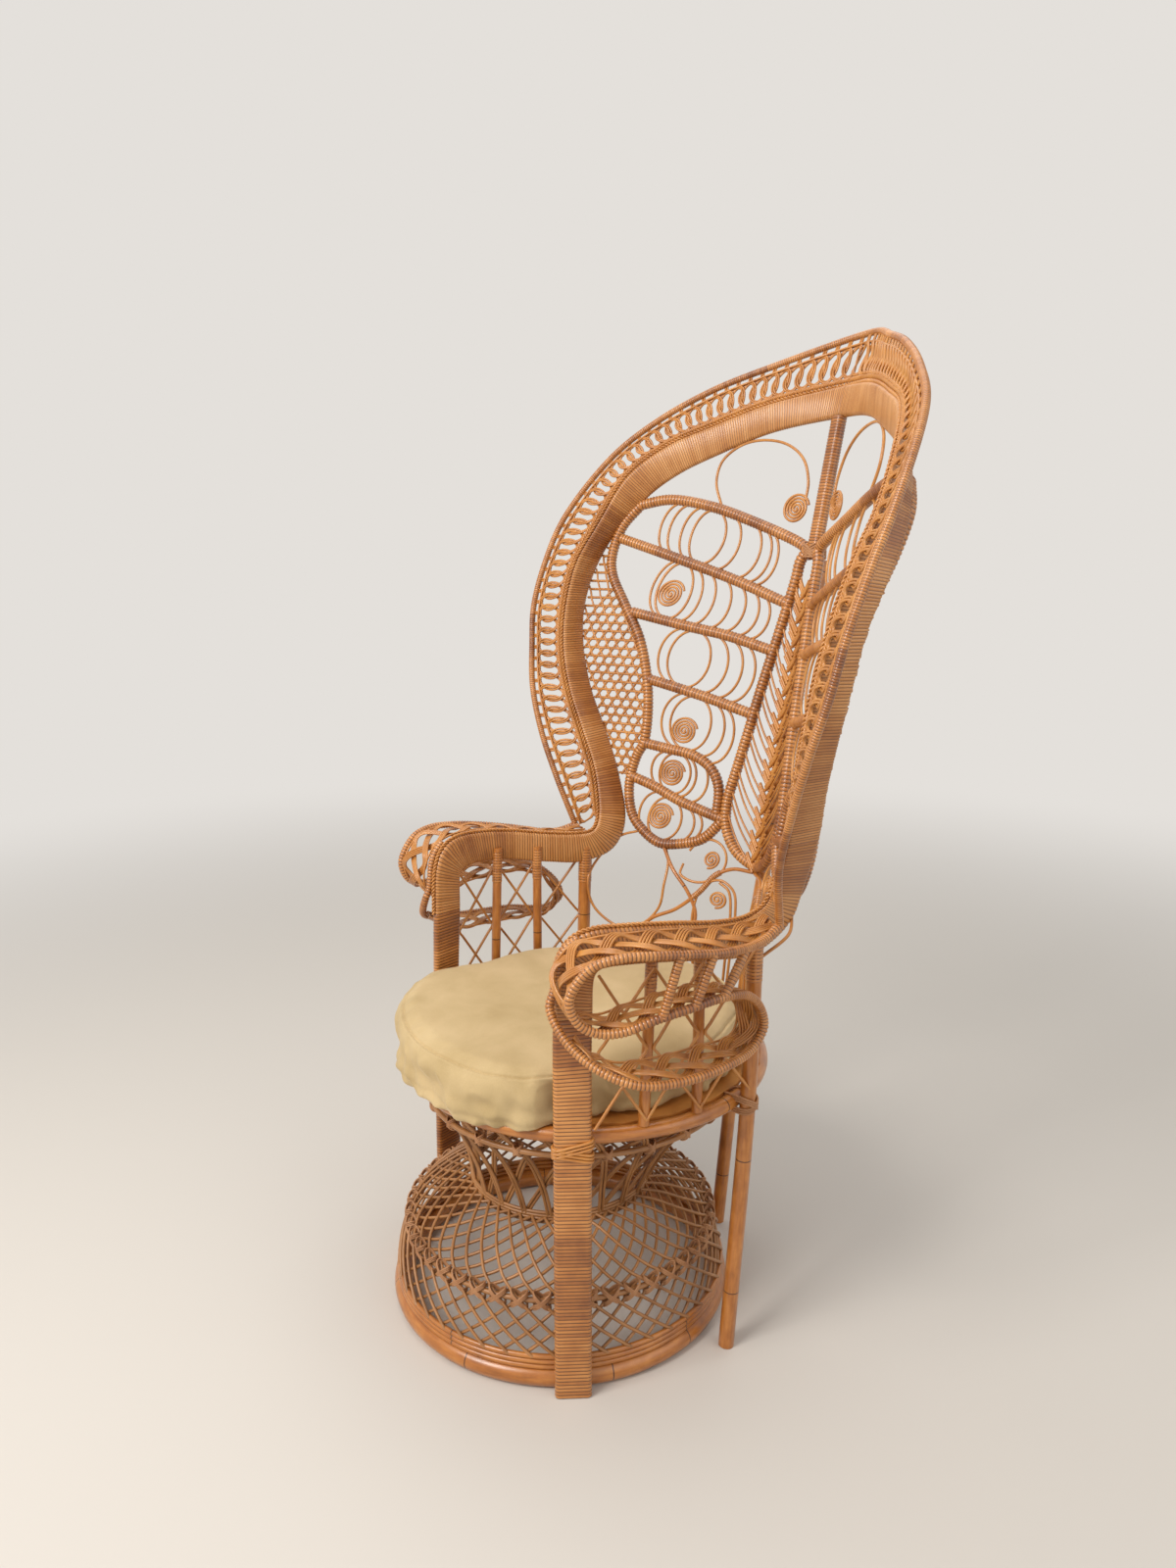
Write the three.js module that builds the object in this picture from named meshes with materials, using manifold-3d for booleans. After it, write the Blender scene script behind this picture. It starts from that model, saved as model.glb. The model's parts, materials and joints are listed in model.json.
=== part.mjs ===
import * as THREE from "three";
import { mergeVertices } from "three/addons/utils/BufferGeometryUtils.js";
import Module from "manifold-3d";

// A peacock chair: cane-wrapped rattan poles on an hourglass base, with a round loose cushion.
// Millimetres, +Z up. The sitter faces -Y, and +X is the sitter's left.

// Driving dimensions
const backHeight = 1500; // middle of the rim pole at the top of the back
const backHalfWidth = 458; // middle of the rim pole where the back is widest
const backDepth = 550; // how far the top of the rim lies behind the middle of the base
const armHeight = 680; // top of the wrapped band along the arms
const armHalfSpan = 280; // middle of the arm band where it bulges most
const armPoleHalfSpan = 373; // middle of the outer arm pole where it bulges most
const armDepth = 192; // how far the arm's front roll lies before the middle of the seat
const seatHeight = 396; // top of the seat ring
const seatRadius = 275; // middle of the seat ring's pole
const seatOffset = 47; // the seat sits this far behind the middle of the base
const baseRadius = 256; // middle of the bottom ring's pole
const waistRadius = 139;
const waistHeight = 188;
const braidRadius = 241;
const braidHeight = 122;
const spineFoot = 306; // the spine pole meets the floor this far behind the middle of the base
const spineDepth = 370; // the middle of the back panel at arm height
const rearFootX = 269; // foot of each rear side leg
const rearFootY = 146;
const cushionOverhang = 28; // how far its front stands out past the middle of the seat ring's pole
const cushionThickness = 80;

// Radii of the poles and sizes of the canes
const baseRingRadius = 15;
const hoopRadius = 4;
const ringRadius = 6; // the braid and the waist ring
const coneHoopRadius = 4.5;
const seatRingRadius = 11;
const rearLegRadius = 11.5;
const spineRadius = 11.5;
const rimPoleRadius = 6;
const postRadius = 9;
const leafRadius = 7.5;
const ribRadius = 7.5;
const strutRadius = 6.5;
const scrollRadius = 3.5;
const scrollDiscRadius = 25;
const bandWidth = 52;
const bandThickness = 14;
const centrePostWidth = 26;
const centrePostDepth = 20;
const caneWidth = 6;
const caneThickness = 4;
const deckThickness = 6;
const clearance = 0.35;

// How finely sections and long pieces are divided
const poleCorners = 6;
const ringCorners = 8;
const thinRingCorners = 6;
const scrollCorners = 4;
const bandCorners = 8;
const discCorners = 16;
const cushionSegments = 36;
const fineSteps = 160; // points of a line that is looked up by height
const frontLegSteps = 3;
const armBandSteps = 16;
const backBandSteps = 17;
const rimSteps = 28;
const armSteps = 36;
const rearLegSteps = 6;
const topRibSteps = 18;
const leafSteps = 28;
const frameSteps = 25;
const ribSteps = 5;
const upperForkSteps = 8;
const spineSteps = 10;
const crownArcSteps = 16;
const stemSteps = 5;
const bowSteps = 7;
const largeScrollSteps = 12;
const roundScrollSteps = 10;

// Crossing canes: columns and rows of diamonds
const baseColumns = 12;
const rimColumns = 12;
const armColumns = 10;
const wallColumns = 7;
const braidColumns = 7;
const eyeColumns = 6;
const latticeRows = 3;

const finishes = {
  wrap: { color: 0xc88446, roughness: 0.42, metalness: 0 },
  pole: { color: 0xb86f33, roughness: 0.38, metalness: 0 },
  weave: { color: 0xb97a42, roughness: 0.5, metalness: 0 },
  base: { color: 0x9c6233, roughness: 0.5, metalness: 0 },
  velvet: { color: 0xb8a878, roughness: 0.9, metalness: 0 },
};

const wasm = await Module();
wasm.setup();

const { lerp } = THREE.MathUtils;
const vec = (x, y, z) => new THREE.Vector3(x, y, z);
const between = (a, b, share) => a.clone().lerp(b, share);
const spline = (points) => new THREE.CatmullRomCurve3(points, false, "centripetal");
const onSide = (points, side) => points.map((p) => vec(side * p.x, p.y, p.z));
const polar = (middleY, radius, degrees, z) => {
  const turn = THREE.MathUtils.degToRad(degrees);
  return vec(radius * Math.cos(turn), middleY + radius * Math.sin(turn), z);
};

// Turns a closed shell right side out
function outward(geometry) {
  const corners = geometry.attributes.position;
  const order = Array.from(geometry.index.array);
  const corner = (i) => vec().fromBufferAttribute(corners, order[i]);
  let volume = 0;
  for (let i = 0; i < order.length; i += 3) {
    volume += corner(i).dot(corner(i + 1).cross(corner(i + 2)));
  }
  if (volume < 0) geometry.setIndex(order.reverse());
  return geometry;
}

function shell(positions, faces) {
  const geometry = new THREE.BufferGeometry();
  geometry.setAttribute("position", new THREE.Float32BufferAttribute(positions, 3));
  geometry.setIndex(faces);
  return outward(geometry);
}

// Cutting and joining of closed shells
function toSolid(geometry) {
  const bare = geometry.clone();
  bare.deleteAttribute("normal");
  bare.deleteAttribute("uv");
  const merged = mergeVertices(bare);
  const vertProperties = Float32Array.from(merged.attributes.position.array);
  const triVerts = Uint32Array.from(merged.index.array);
  return new wasm.Manifold(new wasm.Mesh({ numProp: 3, vertProperties, triVerts }));
}

function toGeometry(solid) {
  const { vertProperties, triVerts } = solid.getMesh();
  return shell(Array.from(vertProperties), Array.from(triVerts));
}

// The main body of a cut piece, without the off-cuts
function mainBody(solid) {
  const [largest] = solid.decompose().sort((a, b) => b.volume() - a.volume());
  return toGeometry(largest);
}

const notch = (geometry, neighbours) =>
  mainBody(neighbours.reduce((rest, other) => rest.subtract(toSolid(other)), toSolid(geometry)));

const within = (geometry, block) => mainBody(toSolid(geometry).intersect(toSolid(block)));

const join = (geometries) => toGeometry(geometries.map(toSolid).reduce((all, next) => all.add(next)));

// A round section with a few corners, turned by half a corner
function roundSection(radius, corners) {
  return Array.from({ length: corners }, (_, i) => {
    const turn = ((i + 1 / 2) / corners) * 2 * Math.PI;
    return new THREE.Vector2(radius * Math.cos(turn), radius * Math.sin(turn));
  });
}

// A round pole along a smooth line through the points
function pole(points, radius, steps = 1, corners = poleCorners) {
  const extrudePath = points.length === 2 ? new THREE.LineCurve3(...points) : spline(points);
  const section = new THREE.Shape(roundSection(radius, corners));
  return new THREE.ExtrudeGeometry(section, { steps, extrudePath, bevelEnabled: false });
}

// A solid turned about the upright axis through the middle, from a closed outline of radius and height
const turnSteps = 2 * baseColumns;
function turned(outline, middleY = 0) {
  const profile = [...outline, outline[0]].map(([radius, z]) => new THREE.Vector2(radius, z));
  const geometry = new THREE.LatheGeometry(profile, turnSteps);
  geometry.rotateX(Math.PI / 2);
  geometry.translate(0, middleY, 0);
  return outward(mergeVertices(geometry));
}

// A round ring, and how far the flats of its section lie from the section's middle
const flatOf = (radius, corners = ringCorners) => radius * Math.cos(Math.PI / corners);
function ring(radius, poleRadius, z, middleY = 0, corners = ringCorners) {
  const outline = roundSection(poleRadius, corners).map((corner) => [radius + corner.x, z + corner.y]);
  return turned(outline, middleY);
}

// A flat wrapped band with bevelled edges between two edge lines, from one share of them to another
const bevelShare = 1 / 3;
function band(firstEdge, secondEdge, from, to, steps, thickness, grow = 0) {
  const positions = [];
  const faces = [];
  const bevel = thickness * bevelShare;
  for (let i = 0; i <= steps; i++) {
    const t = lerp(from, to, i / steps);
    const first = firstEdge.getPoint(t);
    const second = secondEdge.getPoint(t);
    const along = firstEdge.getTangent(t).add(secondEdge.getTangent(t)).normalize();
    const across = second.clone().sub(first).normalize();
    const through = along.cross(across).normalize();
    const half = first.distanceTo(second) / 2 + grow;
    const deep = thickness / 2 + grow;
    const outline = [
      [half, deep - bevel], [half - bevel, deep], [bevel - half, deep], [-half, deep - bevel],
      [-half, bevel - deep], [bevel - half, -deep], [half - bevel, -deep], [half, bevel - deep],
    ];
    outline.forEach(([u, v], k) => {
      const p = between(first, second, 1 / 2).addScaledVector(across, u).addScaledVector(through, v);
      positions.push(p.x, p.y, p.z);
      if (i < steps) {
        const [here, next] = [i * bandCorners + k, i * bandCorners + ((k + 1) % bandCorners)];
        const [nextAhead, ahead] = [next + bandCorners, here + bandCorners];
        faces.push(here, next, nextAhead, here, nextAhead, ahead);
      }
    });
  }
  const last = steps * bandCorners;
  for (let k = 1; k + 1 < bandCorners; k++) {
    faces.push(0, k + 1, k, last, last + k, last + k + 1);
  }
  return shell(positions, faces);
}

// Crossing canes on a surface: rows of diamonds with open middles
const normalShare = 1 / 8; // the surface's slope is taken this share of a column to each side
const leastOpenShare = 1 / 8;
function lattice(surface, columns, wraps = false) {
  const rows = latticeRows;
  const positions = [];
  const faces = [];
  const crossings = new Map();
  const freeEdges = new Map();
  const quad = (a, b, c, d) => faces.push(a, b, c, a, c, d);
  const addPair = (point, normal) => {
    const upper = point.clone().addScaledVector(normal, caneThickness / 2);
    const lower = point.clone().addScaledVector(normal, -caneThickness / 2);
    positions.push(upper.x, upper.y, upper.z, lower.x, lower.y, lower.z);
    return { index: positions.length / 3 - 2, point, normal };
  };
  const crossing = (column, row) => {
    const name = `${wraps ? column % (2 * columns) : column}:${row}`;
    if (!crossings.has(name)) {
      const u = column / (2 * columns);
      const v = row / rows;
      const near = normalShare / columns;
      const [uLow, uHigh] = wraps ? [u - near, u + near] : [Math.max(u - near, 0), Math.min(u + near, 1)];
      const alongU = surface(uHigh, v).sub(surface(uLow, v));
      const alongV = surface(u, Math.min(v + near, 1)).sub(surface(u, Math.max(v - near, 0)));
      crossings.set(name, addPair(surface(u, v), alongU.cross(alongV).normalize()));
    }
    return crossings.get(name);
  };
  for (let row = 0; row + 2 <= rows; row++) {
    const shift = row % 2;
    for (let i = 0; i < (wraps ? columns : columns - shift); i++) {
      const column = 2 * i + 1 + shift;
      const outline = [[0, 0], [1, 1], [0, 2], [-1, 1]].map(([du, dv]) => crossing(column + du, row + dv));
      const middle = outline.reduce((sum, o) => sum.add(o.point), vec()).divideScalar(outline.length);
      const halfHeight = outline[0].point.distanceTo(outline[2].point) / 2;
      const halfWidth = outline[1].point.distanceTo(outline[3].point) / 2;
      const inradius = (halfHeight * halfWidth) / Math.hypot(halfHeight, halfWidth);
      const open = Math.max(1 - caneWidth / 2 / inradius, leastOpenShare);
      const inner = outline.map((o) => addPair(between(middle, o.point, open), o.normal));
      outline.forEach((o, k) => {
        const after = (k + 1) % outline.length;
        const [a, b, c, d] = [o.index, outline[after].index, inner[after].index, inner[k].index];
        quad(a, b, c, d);
        quad(d + 1, c + 1, b + 1, a + 1);
        quad(d, c, c + 1, d + 1);
        if (!freeEdges.delete(`${b}:${a}`)) freeEdges.set(`${a}:${b}`, [a, b]);
      });
    }
  }
  freeEdges.forEach(([a, b]) => quad(a, a + 1, b + 1, b));
  return shell(positions, faces);
}

// Two surfaces for lattices: turned about the upright axis, and stretched between two edge lines
const turnedSurface = (line, startY, endY) => (u, v) => {
  const p = line.getPoint(v);
  const turn = 2 * Math.PI * u;
  return vec(p.x * Math.cos(turn), lerp(startY, endY, v) + p.x * Math.sin(turn), p.z);
};
const stretched = (firstLine, secondLine, firstGap, secondGap, end = 1) => (u, v) => {
  const first = firstLine.getPoint(u * end);
  const second = secondLine.getPoint(u * end);
  const width = first.distanceTo(second);
  return between(first, second, lerp(firstGap / width, 1 - secondGap / width, v));
};

const parts = new Map();
function add(name, finish, geometry) {
  parts.set(name, { finish, geometry });
}
const sides = [["left", 1], ["right", -1]];

// Base: bottom ring, hoops on it, skirt of crossing canes, braid, dome, waist, cone and seat ring
const baseTop = 2 * flatOf(baseRingRadius);
const seatRingMiddle = seatHeight - flatOf(seatRingRadius);
const hoopCount = 3;
const hoopBase = baseTop + clearance;
const hoopsTop = hoopBase + hoopCount * 2 * hoopRadius;
const hoopLine = baseRadius + hoopRadius;
const tipGap = 2 * clearance; // from a ring to the tips of the canes that end on it
const slantGap = 3 * clearance; // the same where the canes meet the ring at a slant

function hoopOutline() {
  const outer = Array.from({ length: hoopCount }, (_, i) => {
    const z = hoopBase + i * 2 * hoopRadius;
    return [[hoopLine + hoopRadius / 2, z], [hoopLine + hoopRadius, z + hoopRadius]];
  }).flat();
  const inner = hoopLine - hoopRadius;
  return [[inner, hoopBase], ...outer, [hoopLine + hoopRadius / 2, hoopsTop], [inner, hoopsTop]];
}

// Where canes land on a ring's section, in degrees: 0 is its outer side and 90 its top
const landings = { skirtTop: -90, domeFoot: 120, domeTop: 0, coneFoot: 90, coneTop: -135 };
const onRing = (radius, z, off, degrees) => {
  const turn = THREE.MathUtils.degToRad(degrees);
  return vec(radius + off * Math.cos(turn), 0, z + off * Math.sin(turn));
};
// A line from a start to an end that passes through places given as shares of the way out and up
function baseLine(start, shares, end) {
  const places = shares.map(([out, up]) => vec(lerp(start.x, end.x, out), 0, lerp(start.z, end.z, up)));
  return spline([start, ...places, end]);
}
const skirtShares = [[0.33, 0.47]];
const domeShares = [[0.42, 0.6]];
const coneShares = [[0.16, 0.27], [0.48, 0.6], [0.82, 0.83]];
const thinFlat = flatOf(ringRadius, thinRingCorners);
const skirtLine = baseLine(
  vec(hoopLine, 0, hoopsTop + tipGap),
  skirtShares,
  onRing(braidRadius, braidHeight, ringRadius + tipGap, landings.skirtTop),
);
const domeLine = baseLine(
  onRing(braidRadius, braidHeight, thinFlat + slantGap, landings.domeFoot),
  domeShares,
  onRing(waistRadius, waistHeight, thinFlat + slantGap, landings.domeTop),
);
const coneLine = baseLine(
  onRing(waistRadius, waistHeight, ringRadius + tipGap, landings.coneFoot),
  coneShares,
  onRing(seatRadius, seatRingMiddle, flatOf(seatRingRadius) + slantGap, landings.coneTop),
);
const coneHoopShare = (latticeRows - 1) / latticeRows; // the hoop lies on the last row of crossings
const baseRingPiece = (grow = 0) => ring(baseRadius, baseRingRadius + grow, flatOf(baseRingRadius));
const seatRingPiece = (grow = 0) => ring(seatRadius, seatRingRadius + grow, seatRingMiddle, seatOffset);
const thinRing = (radius, poleRadius, z, middleY) => ring(radius, poleRadius, z, middleY, thinRingCorners);
const baseLattice = (line, endY) => lattice(turnedSurface(line, 0, endY), baseColumns, true);

function addBase() {
  add("base_ring", "base", baseRingPiece());
  add("base_hoops", "base", turned(hoopOutline()));
  add("skirt_lattice", "base", baseLattice(skirtLine, 0));
  add("braid_ring", "base", thinRing(braidRadius, ringRadius, braidHeight, 0));
  add("dome_lattice", "base", baseLattice(domeLine, 0));
  add("waist_ring", "base", thinRing(waistRadius, ringRadius, waistHeight, 0));
  add("cone_lattice", "base", baseLattice(coneLine, seatOffset));
  const place = coneLine.getPoint(coneHoopShare);
  const slope = coneLine.getTangent(coneHoopShare);
  const off = caneThickness / 2 + coneHoopRadius + clearance;
  const hoopMiddle = vec(place.x + off * slope.z, 0, place.z - off * slope.x);
  const hoopY = seatOffset * coneHoopShare;
  add("cone_hoop", "base", thinRing(hoopMiddle.x, coneHoopRadius, hoopMiddle.z, hoopY));
  add("seat_ring", "pole", seatRingPiece());
}

// Seat: a woven deck inside the ring and a round cushion that overhangs it between the front legs
const deckTop = seatHeight - clearance;
function addDeck() {
  const radius = seatRadius - flatOf(seatRingRadius) - clearance;
  const deck = new THREE.CylinderGeometry(radius, radius, deckThickness, turnSteps);
  deck.rotateX(Math.PI / 2);
  deck.translate(0, seatOffset, deckTop - deckThickness / 2);
  add("seat_deck", "weave", deck);
}

const cushionRadius = seatRadius + cushionOverhang;
const cushionInset = 52; // how far the cushion draws in between the arm walls
const cushionLip = 12; // how far the front of the cushion hangs over the ring
const frontHalfAngles = [45, 70]; // the front ends between these angles from straight ahead
const lipStartShare = 0.85; // the lip starts where the cushion has come out this far over the ring
// Rows from the bottom to the crown: share of the radius, share of the thickness or, below zero, of the lip
const cushionShares = [
  [0.5, 0], [0.9, 0], [0.957, -0.02], [0.966, -1], [0.995, -0.9], [1, 0.15], [0.985, 0.3], [0.998, 0.55],
  [0.985, 0.8], [0.955, 0.9], [0.9, 0.94], [0.6, 0.985], [0.3, 1],
];
function addCushion() {
  const low = seatHeight + clearance;
  const segments = cushionSegments;
  const rows = cushionShares;
  const positions = [];
  const faces = [];
  const reachAt = (degrees) => {
    const ahead = THREE.MathUtils.degToRad(degrees);
    const off = THREE.MathUtils.radToDeg(Math.acos(THREE.MathUtils.clamp(-Math.sin(ahead), -1, 1)));
    const front = 1 - THREE.MathUtils.smoothstep(off, ...frontHalfAngles);
    const lip = cushionLip * THREE.MathUtils.smoothstep(front, lipStartShare, 1);
    return { lip, radius: cushionRadius - cushionInset * (1 - front) };
  };
  rows.forEach(([out, up]) => {
    for (let i = 0; i < segments; i++) {
      const degrees = THREE.MathUtils.radToDeg((i / segments) * 2 * Math.PI);
      const { lip, radius } = reachAt(degrees);
      const rise = up < 0 ? up * lip : up * cushionThickness;
      const p = polar(seatOffset, out * radius, degrees, low + rise);
      positions.push(p.x, p.y, p.z);
    }
  });
  for (let r = 0; r + 1 < rows.length; r++) {
    for (let i = 0; i < segments; i++) {
      const next = (i + 1) % segments;
      const [a, b] = [r * segments, (r + 1) * segments];
      faces.push(a + i, a + next, b + next, a + i, b + next, b + i);
    }
  }
  const bottom = positions.length / 3;
  positions.push(0, seatOffset, low, 0, seatOffset, low + cushionThickness);
  const lastRow = (rows.length - 1) * segments;
  for (let i = 0; i < segments; i++) {
    const next = (i + 1) % segments;
    faces.push(bottom, next, i, bottom + 1, lastRow + i, lastRow + next);
  }
  add("cushion", "velvet", notch(shell(positions, faces), [seatRingPiece(clearance)]));
}

// Places from shares of the sizes that they follow
const backRise = backHeight - armHeight;
const onBack = ([x, y, z]) => vec(x * backHalfWidth, y * backDepth, armHeight + z * backRise);
const besideArm = (span) => ([x, y, z]) =>
  vec(x * span, seatOffset + y * armDepth, lerp(seatHeight, armHeight, z));
const onArm = besideArm(armHalfSpan);
const onArmPole = besideArm(armPoleHalfSpan);

// The wrapped band's two edges: up the front leg, over the arm and round the back to its top
const legFootAngle = -21.5;
const legSeatAngle = -30;
const legSlantShare = 0.4; // how far the leg's width turns outward from straight back
const legSlant = vec(legSlantShare, Math.sqrt(1 - legSlantShare ** 2), 0).multiplyScalar(bandWidth / 2);
const legAt = (middleY, ringReach, angle, z) =>
  polar(middleY, ringReach + clearance + bandThickness / 2, angle, z);
const legMiddles = [
  legAt(0, baseRadius + baseRingRadius, legFootAngle, 0),
  legAt(seatOffset, seatRadius + seatRingRadius, legSeatAngle, seatRingMiddle),
];
const armFrontShares = [
  [0.857, -0.875, 0.576], [0.868, -0.844, 0.859], [0.896, -0.76, 0.965], [0.932, -0.635, 1.007],
  [0.979, -0.401, 1.014], [0.996, -0.089, 0.996], [0.975, 0.302, 0.954], [0.939, 0.589, 0.94],
  [0.914, 0.714, 0.954], [0.925, 0.771, 0.986], [0.943, 0.807, 1.053],
];
const armRearShares = [
  [0.914, -0.615, 0.576], [0.921, -0.6, 0.781], [0.929, -0.568, 0.809], [0.943, -0.516, 0.82],
  [0.979, -0.349, 0.827], [0.996, -0.089, 0.813], [0.975, 0.302, 0.77], [0.95, 0.63, 0.749],
  [0.914, 0.911, 0.809], [0.918, 1.036, 0.901], [0.932, 1.089, 1.021],
];
const backFrontShares = [
  [0.629, 0.373, 0.11], [0.692, 0.351, 0.201], [0.755, 0.331, 0.287], [0.801, 0.327, 0.378],
  [0.828, 0.345, 0.463], [0.843, 0.391, 0.561], [0.828, 0.469, 0.649], [0.769, 0.555, 0.751],
  [0.653, 0.647, 0.81], [0.485, 0.736, 0.846], [0.284, 0.827, 0.88], [0, 0.931, 0.9],
];
const backRearShares = [
  [0.646, 0.464, 0.116], [0.71, 0.44, 0.207], [0.777, 0.42, 0.287], [0.834, 0.416, 0.378],
  [0.862, 0.431, 0.463], [0.876, 0.48, 0.549], [0.845, 0.545, 0.628], [0.731, 0.622, 0.707],
  [0.618, 0.68, 0.751], [0.463, 0.749, 0.787], [0.273, 0.829, 0.822], [0, 0.909, 0.839],
];
// Lines that end at the middle run on for one mirrored point, so that they cross it level
const acrossMiddle = (points) => [...points, ...onSide([points.at(-2)], -1)];
const middleShare = (points) => (points.length - 2) / (points.length - 1);
const edgePoints = (slant, armShares, backShares) =>
  acrossMiddle([
    ...legMiddles.map((p) => p.clone().addScaledVector(legSlant, slant)),
    ...armShares.map(onArm),
    ...backShares.map(onBack),
  ]);
const frontEdgePoints = edgePoints(-1, armFrontShares, backFrontShares);
const rearEdgePoints = edgePoints(1, armRearShares, backRearShares);
const bandSpans = frontEdgePoints.length - 1;
const legTopShare = legMiddles.length / bandSpans;
const armEndShare = (legMiddles.length + armFrontShares.length) / bandSpans;
// Where two lengths of the band meet, the points lie about one band width apart, and each gives half the gap
const spliceShare = clearance / 2 / bandWidth / bandSpans;
const overrunShare = 1 / 4 / bandSpans; // past the middle, where the two sides are cut apart
const bandRanges = {
  front_leg: [0, legTopShare - spliceShare],
  arm_band: [legTopShare + spliceShare, armEndShare - spliceShare],
  back_band: [armEndShare + spliceShare, middleShare(frontEdgePoints) + overrunShare],
};

const bandSteps = { front_leg: frontLegSteps, arm_band: armBandSteps, back_band: backBandSteps };

function bandPiece(name, side, grow = 0) {
  const [from, to] = bandRanges[name];
  const edges = [frontEdgePoints, rearEdgePoints].map((points) => spline(onSide(points, side)));
  return band(...edges, from, to, bandSteps[name], bandThickness, grow);
}

// Blocks for one side of the middle and for all that lies below the floor
const blockSize = 4 * backHeight;
function sideBlock(side) {
  const block = new THREE.BoxGeometry(blockSize, blockSize, blockSize);
  block.translate((side * (blockSize + clearance)) / 2, 0, 0);
  return block;
}

function floorBlock() {
  const block = new THREE.BoxGeometry(blockSize, blockSize, bandWidth);
  block.translate(0, 0, -bandWidth / 2);
  return block;
}

function addBands() {
  sides.forEach(([word, side]) => {
    const inside = [floorBlock(), baseRingPiece(clearance), seatRingPiece(clearance)];
    add(`front_leg_${word}`, "wrap", notch(bandPiece("front_leg", side), inside));
    add(`arm_band_${word}`, "wrap", bandPiece("arm_band", side));
    add(`back_band_${word}`, "wrap", within(bandPiece("back_band", side), sideBlock(side)));
  });
}

// Rim pole, from the rear of the arm round to the top of the back
const rimPoleShares = [
  [0.686, 0.331, -0.022], [0.745, 0.285, 0.084], [0.834, 0.26, 0.189], [0.906, 0.256, 0.287],
  [0.954, 0.273, 0.378], [0.983, 0.291, 0.463], [0.996, 0.338, 0.559], [0.987, 0.409, 0.661],
  [0.884, 0.545, 0.793], [0.731, 0.64, 0.863], [0.524, 0.751, 0.921], [0.295, 0.869, 0.961], [0, 1, 1],
];
const rimPoints = acrossMiddle(rimPoleShares.map(onBack));
const stripSides = 2 * clearance; // from a woven strip to the pieces on both sides of it
const rimPolePiece = (side, grow = 0) => pole(onSide(rimPoints, side), rimPoleRadius + grow, rimSteps);

function addRim() {
  const rimEdge = rimPoints.slice(1);
  const bandEdge = acrossMiddle(backFrontShares.map(onBack));
  const end = middleShare(rimEdge);
  sides.forEach(([word, side]) => {
    add(`rim_pole_${word}`, "wrap", within(rimPolePiece(side), sideBlock(side)));
    const lines = [rimEdge, bandEdge].map((points) => spline(onSide(points, side)));
    const surface = stretched(...lines, rimPoleRadius + stripSides, stripSides, end);
    const near = [bandPiece("back_band", side, clearance), rimPolePiece(side, clearance)];
    const strip = notch(lattice(surface, rimColumns), near);
    add(`rim_weave_${word}`, "weave", within(strip, sideBlock(side)));
  });
}

// Arm pole: along the top, round the front roll, back under the hand, round and forward to the leg
const armPoleShares = [
  [0.845, 0.7, 0.95], [0.887, 0.49, 0.908], [0.979, 0.099, 0.94], [1, -0.203, 0.972],
  [0.995, -0.464, 0.993], [0.971, -0.688, 0.997], [0.938, -0.87, 0.958], [0.914, -1, 0.823],
  [0.92, -0.953, 0.717],
  [0.938, -0.844, 0.664], [0.965, -0.688, 0.657], [0.995, -0.458, 0.703], [1, -0.224, 0.724],
  [0.981, 0.042, 0.731], [0.925, 0.328, 0.682], [0.879, 0.516, 0.565], [0.874, 0.552, 0.47],
  [0.903, 0.422, 0.396], [0.979, 0.099, 0.392], [1, -0.245, 0.385], [0.979, -0.557, 0.399],
  [0.898, -0.766, 0.452], [0.777, -0.896, 0.541], [0.68, -0.93, 0.66],
];
// Inner edge of the arm's woven strip: outside the arm band and the wall, station by station beside the pole
const armStripShares = [
  [0.98, 0.7, 0.95], [1.01, 0.49, 0.95], [1.045, 0.099, 0.975], [1.06, -0.203, 1.005],
  [1.045, -0.464, 1.012], [1.0, -0.66, 1.0], [0.945, -0.82, 0.955], [0.915, -0.92, 0.83],
  [0.93, -0.9, 0.715], [0.97, -0.8, 0.655],
  [1.02, -0.67, 0.64], [1.06, -0.458, 0.682], [1.065, -0.224, 0.703], [1.065, 0.042, 0.71],
  [1.06, 0.3, 0.66], [1.06, 0.4, 0.56], [1.06, 0.41, 0.47], [1.06, 0.35, 0.41], [1.065, 0.099, 0.4],
  [1.065, -0.245, 0.392], [1.04, -0.55, 0.4], [1.0, -0.7, 0.45], [0.96, -0.79, 0.52],
];
const armPolePoints = armPoleShares.map(onArmPole);
const armPolePiece = (side, grow = 0) =>
  pole(onSide(armPolePoints, side), rimPoleRadius + grow, armSteps);

function addArmPoles() {
  sides.forEach(([word, side]) => {
    const bands = ["front_leg", "arm_band"].map((name) => bandPiece(name, side, clearance));
    const near = [...bands, rimPolePiece(side, clearance)];
    add(`arm_pole_${word}`, "wrap", notch(armPolePiece(side), near));
    const outer = spline(onSide(armPolePoints.slice(0, armStripShares.length), side));
    const inner = spline(onSide(armStripShares.map(onArm), side));
    const strip = lattice(stretched(outer, inner, rimPoleRadius + stripSides, stripSides), armColumns);
    const cutters = [...near, armPolePiece(side, clearance), ...wallPieces(side, clearance)];
    add(`arm_weave_${word}`, "weave", notch(strip, cutters));
  });
}

// Arm walls: posts on the seat ring, the rear side leg, and crossing canes outside them
const postFeetAngles = [-10, 7.5];
const postTopShares = [[0.975, -0.2, 0.9], [0.972, 0.19, 0.88]];
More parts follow.
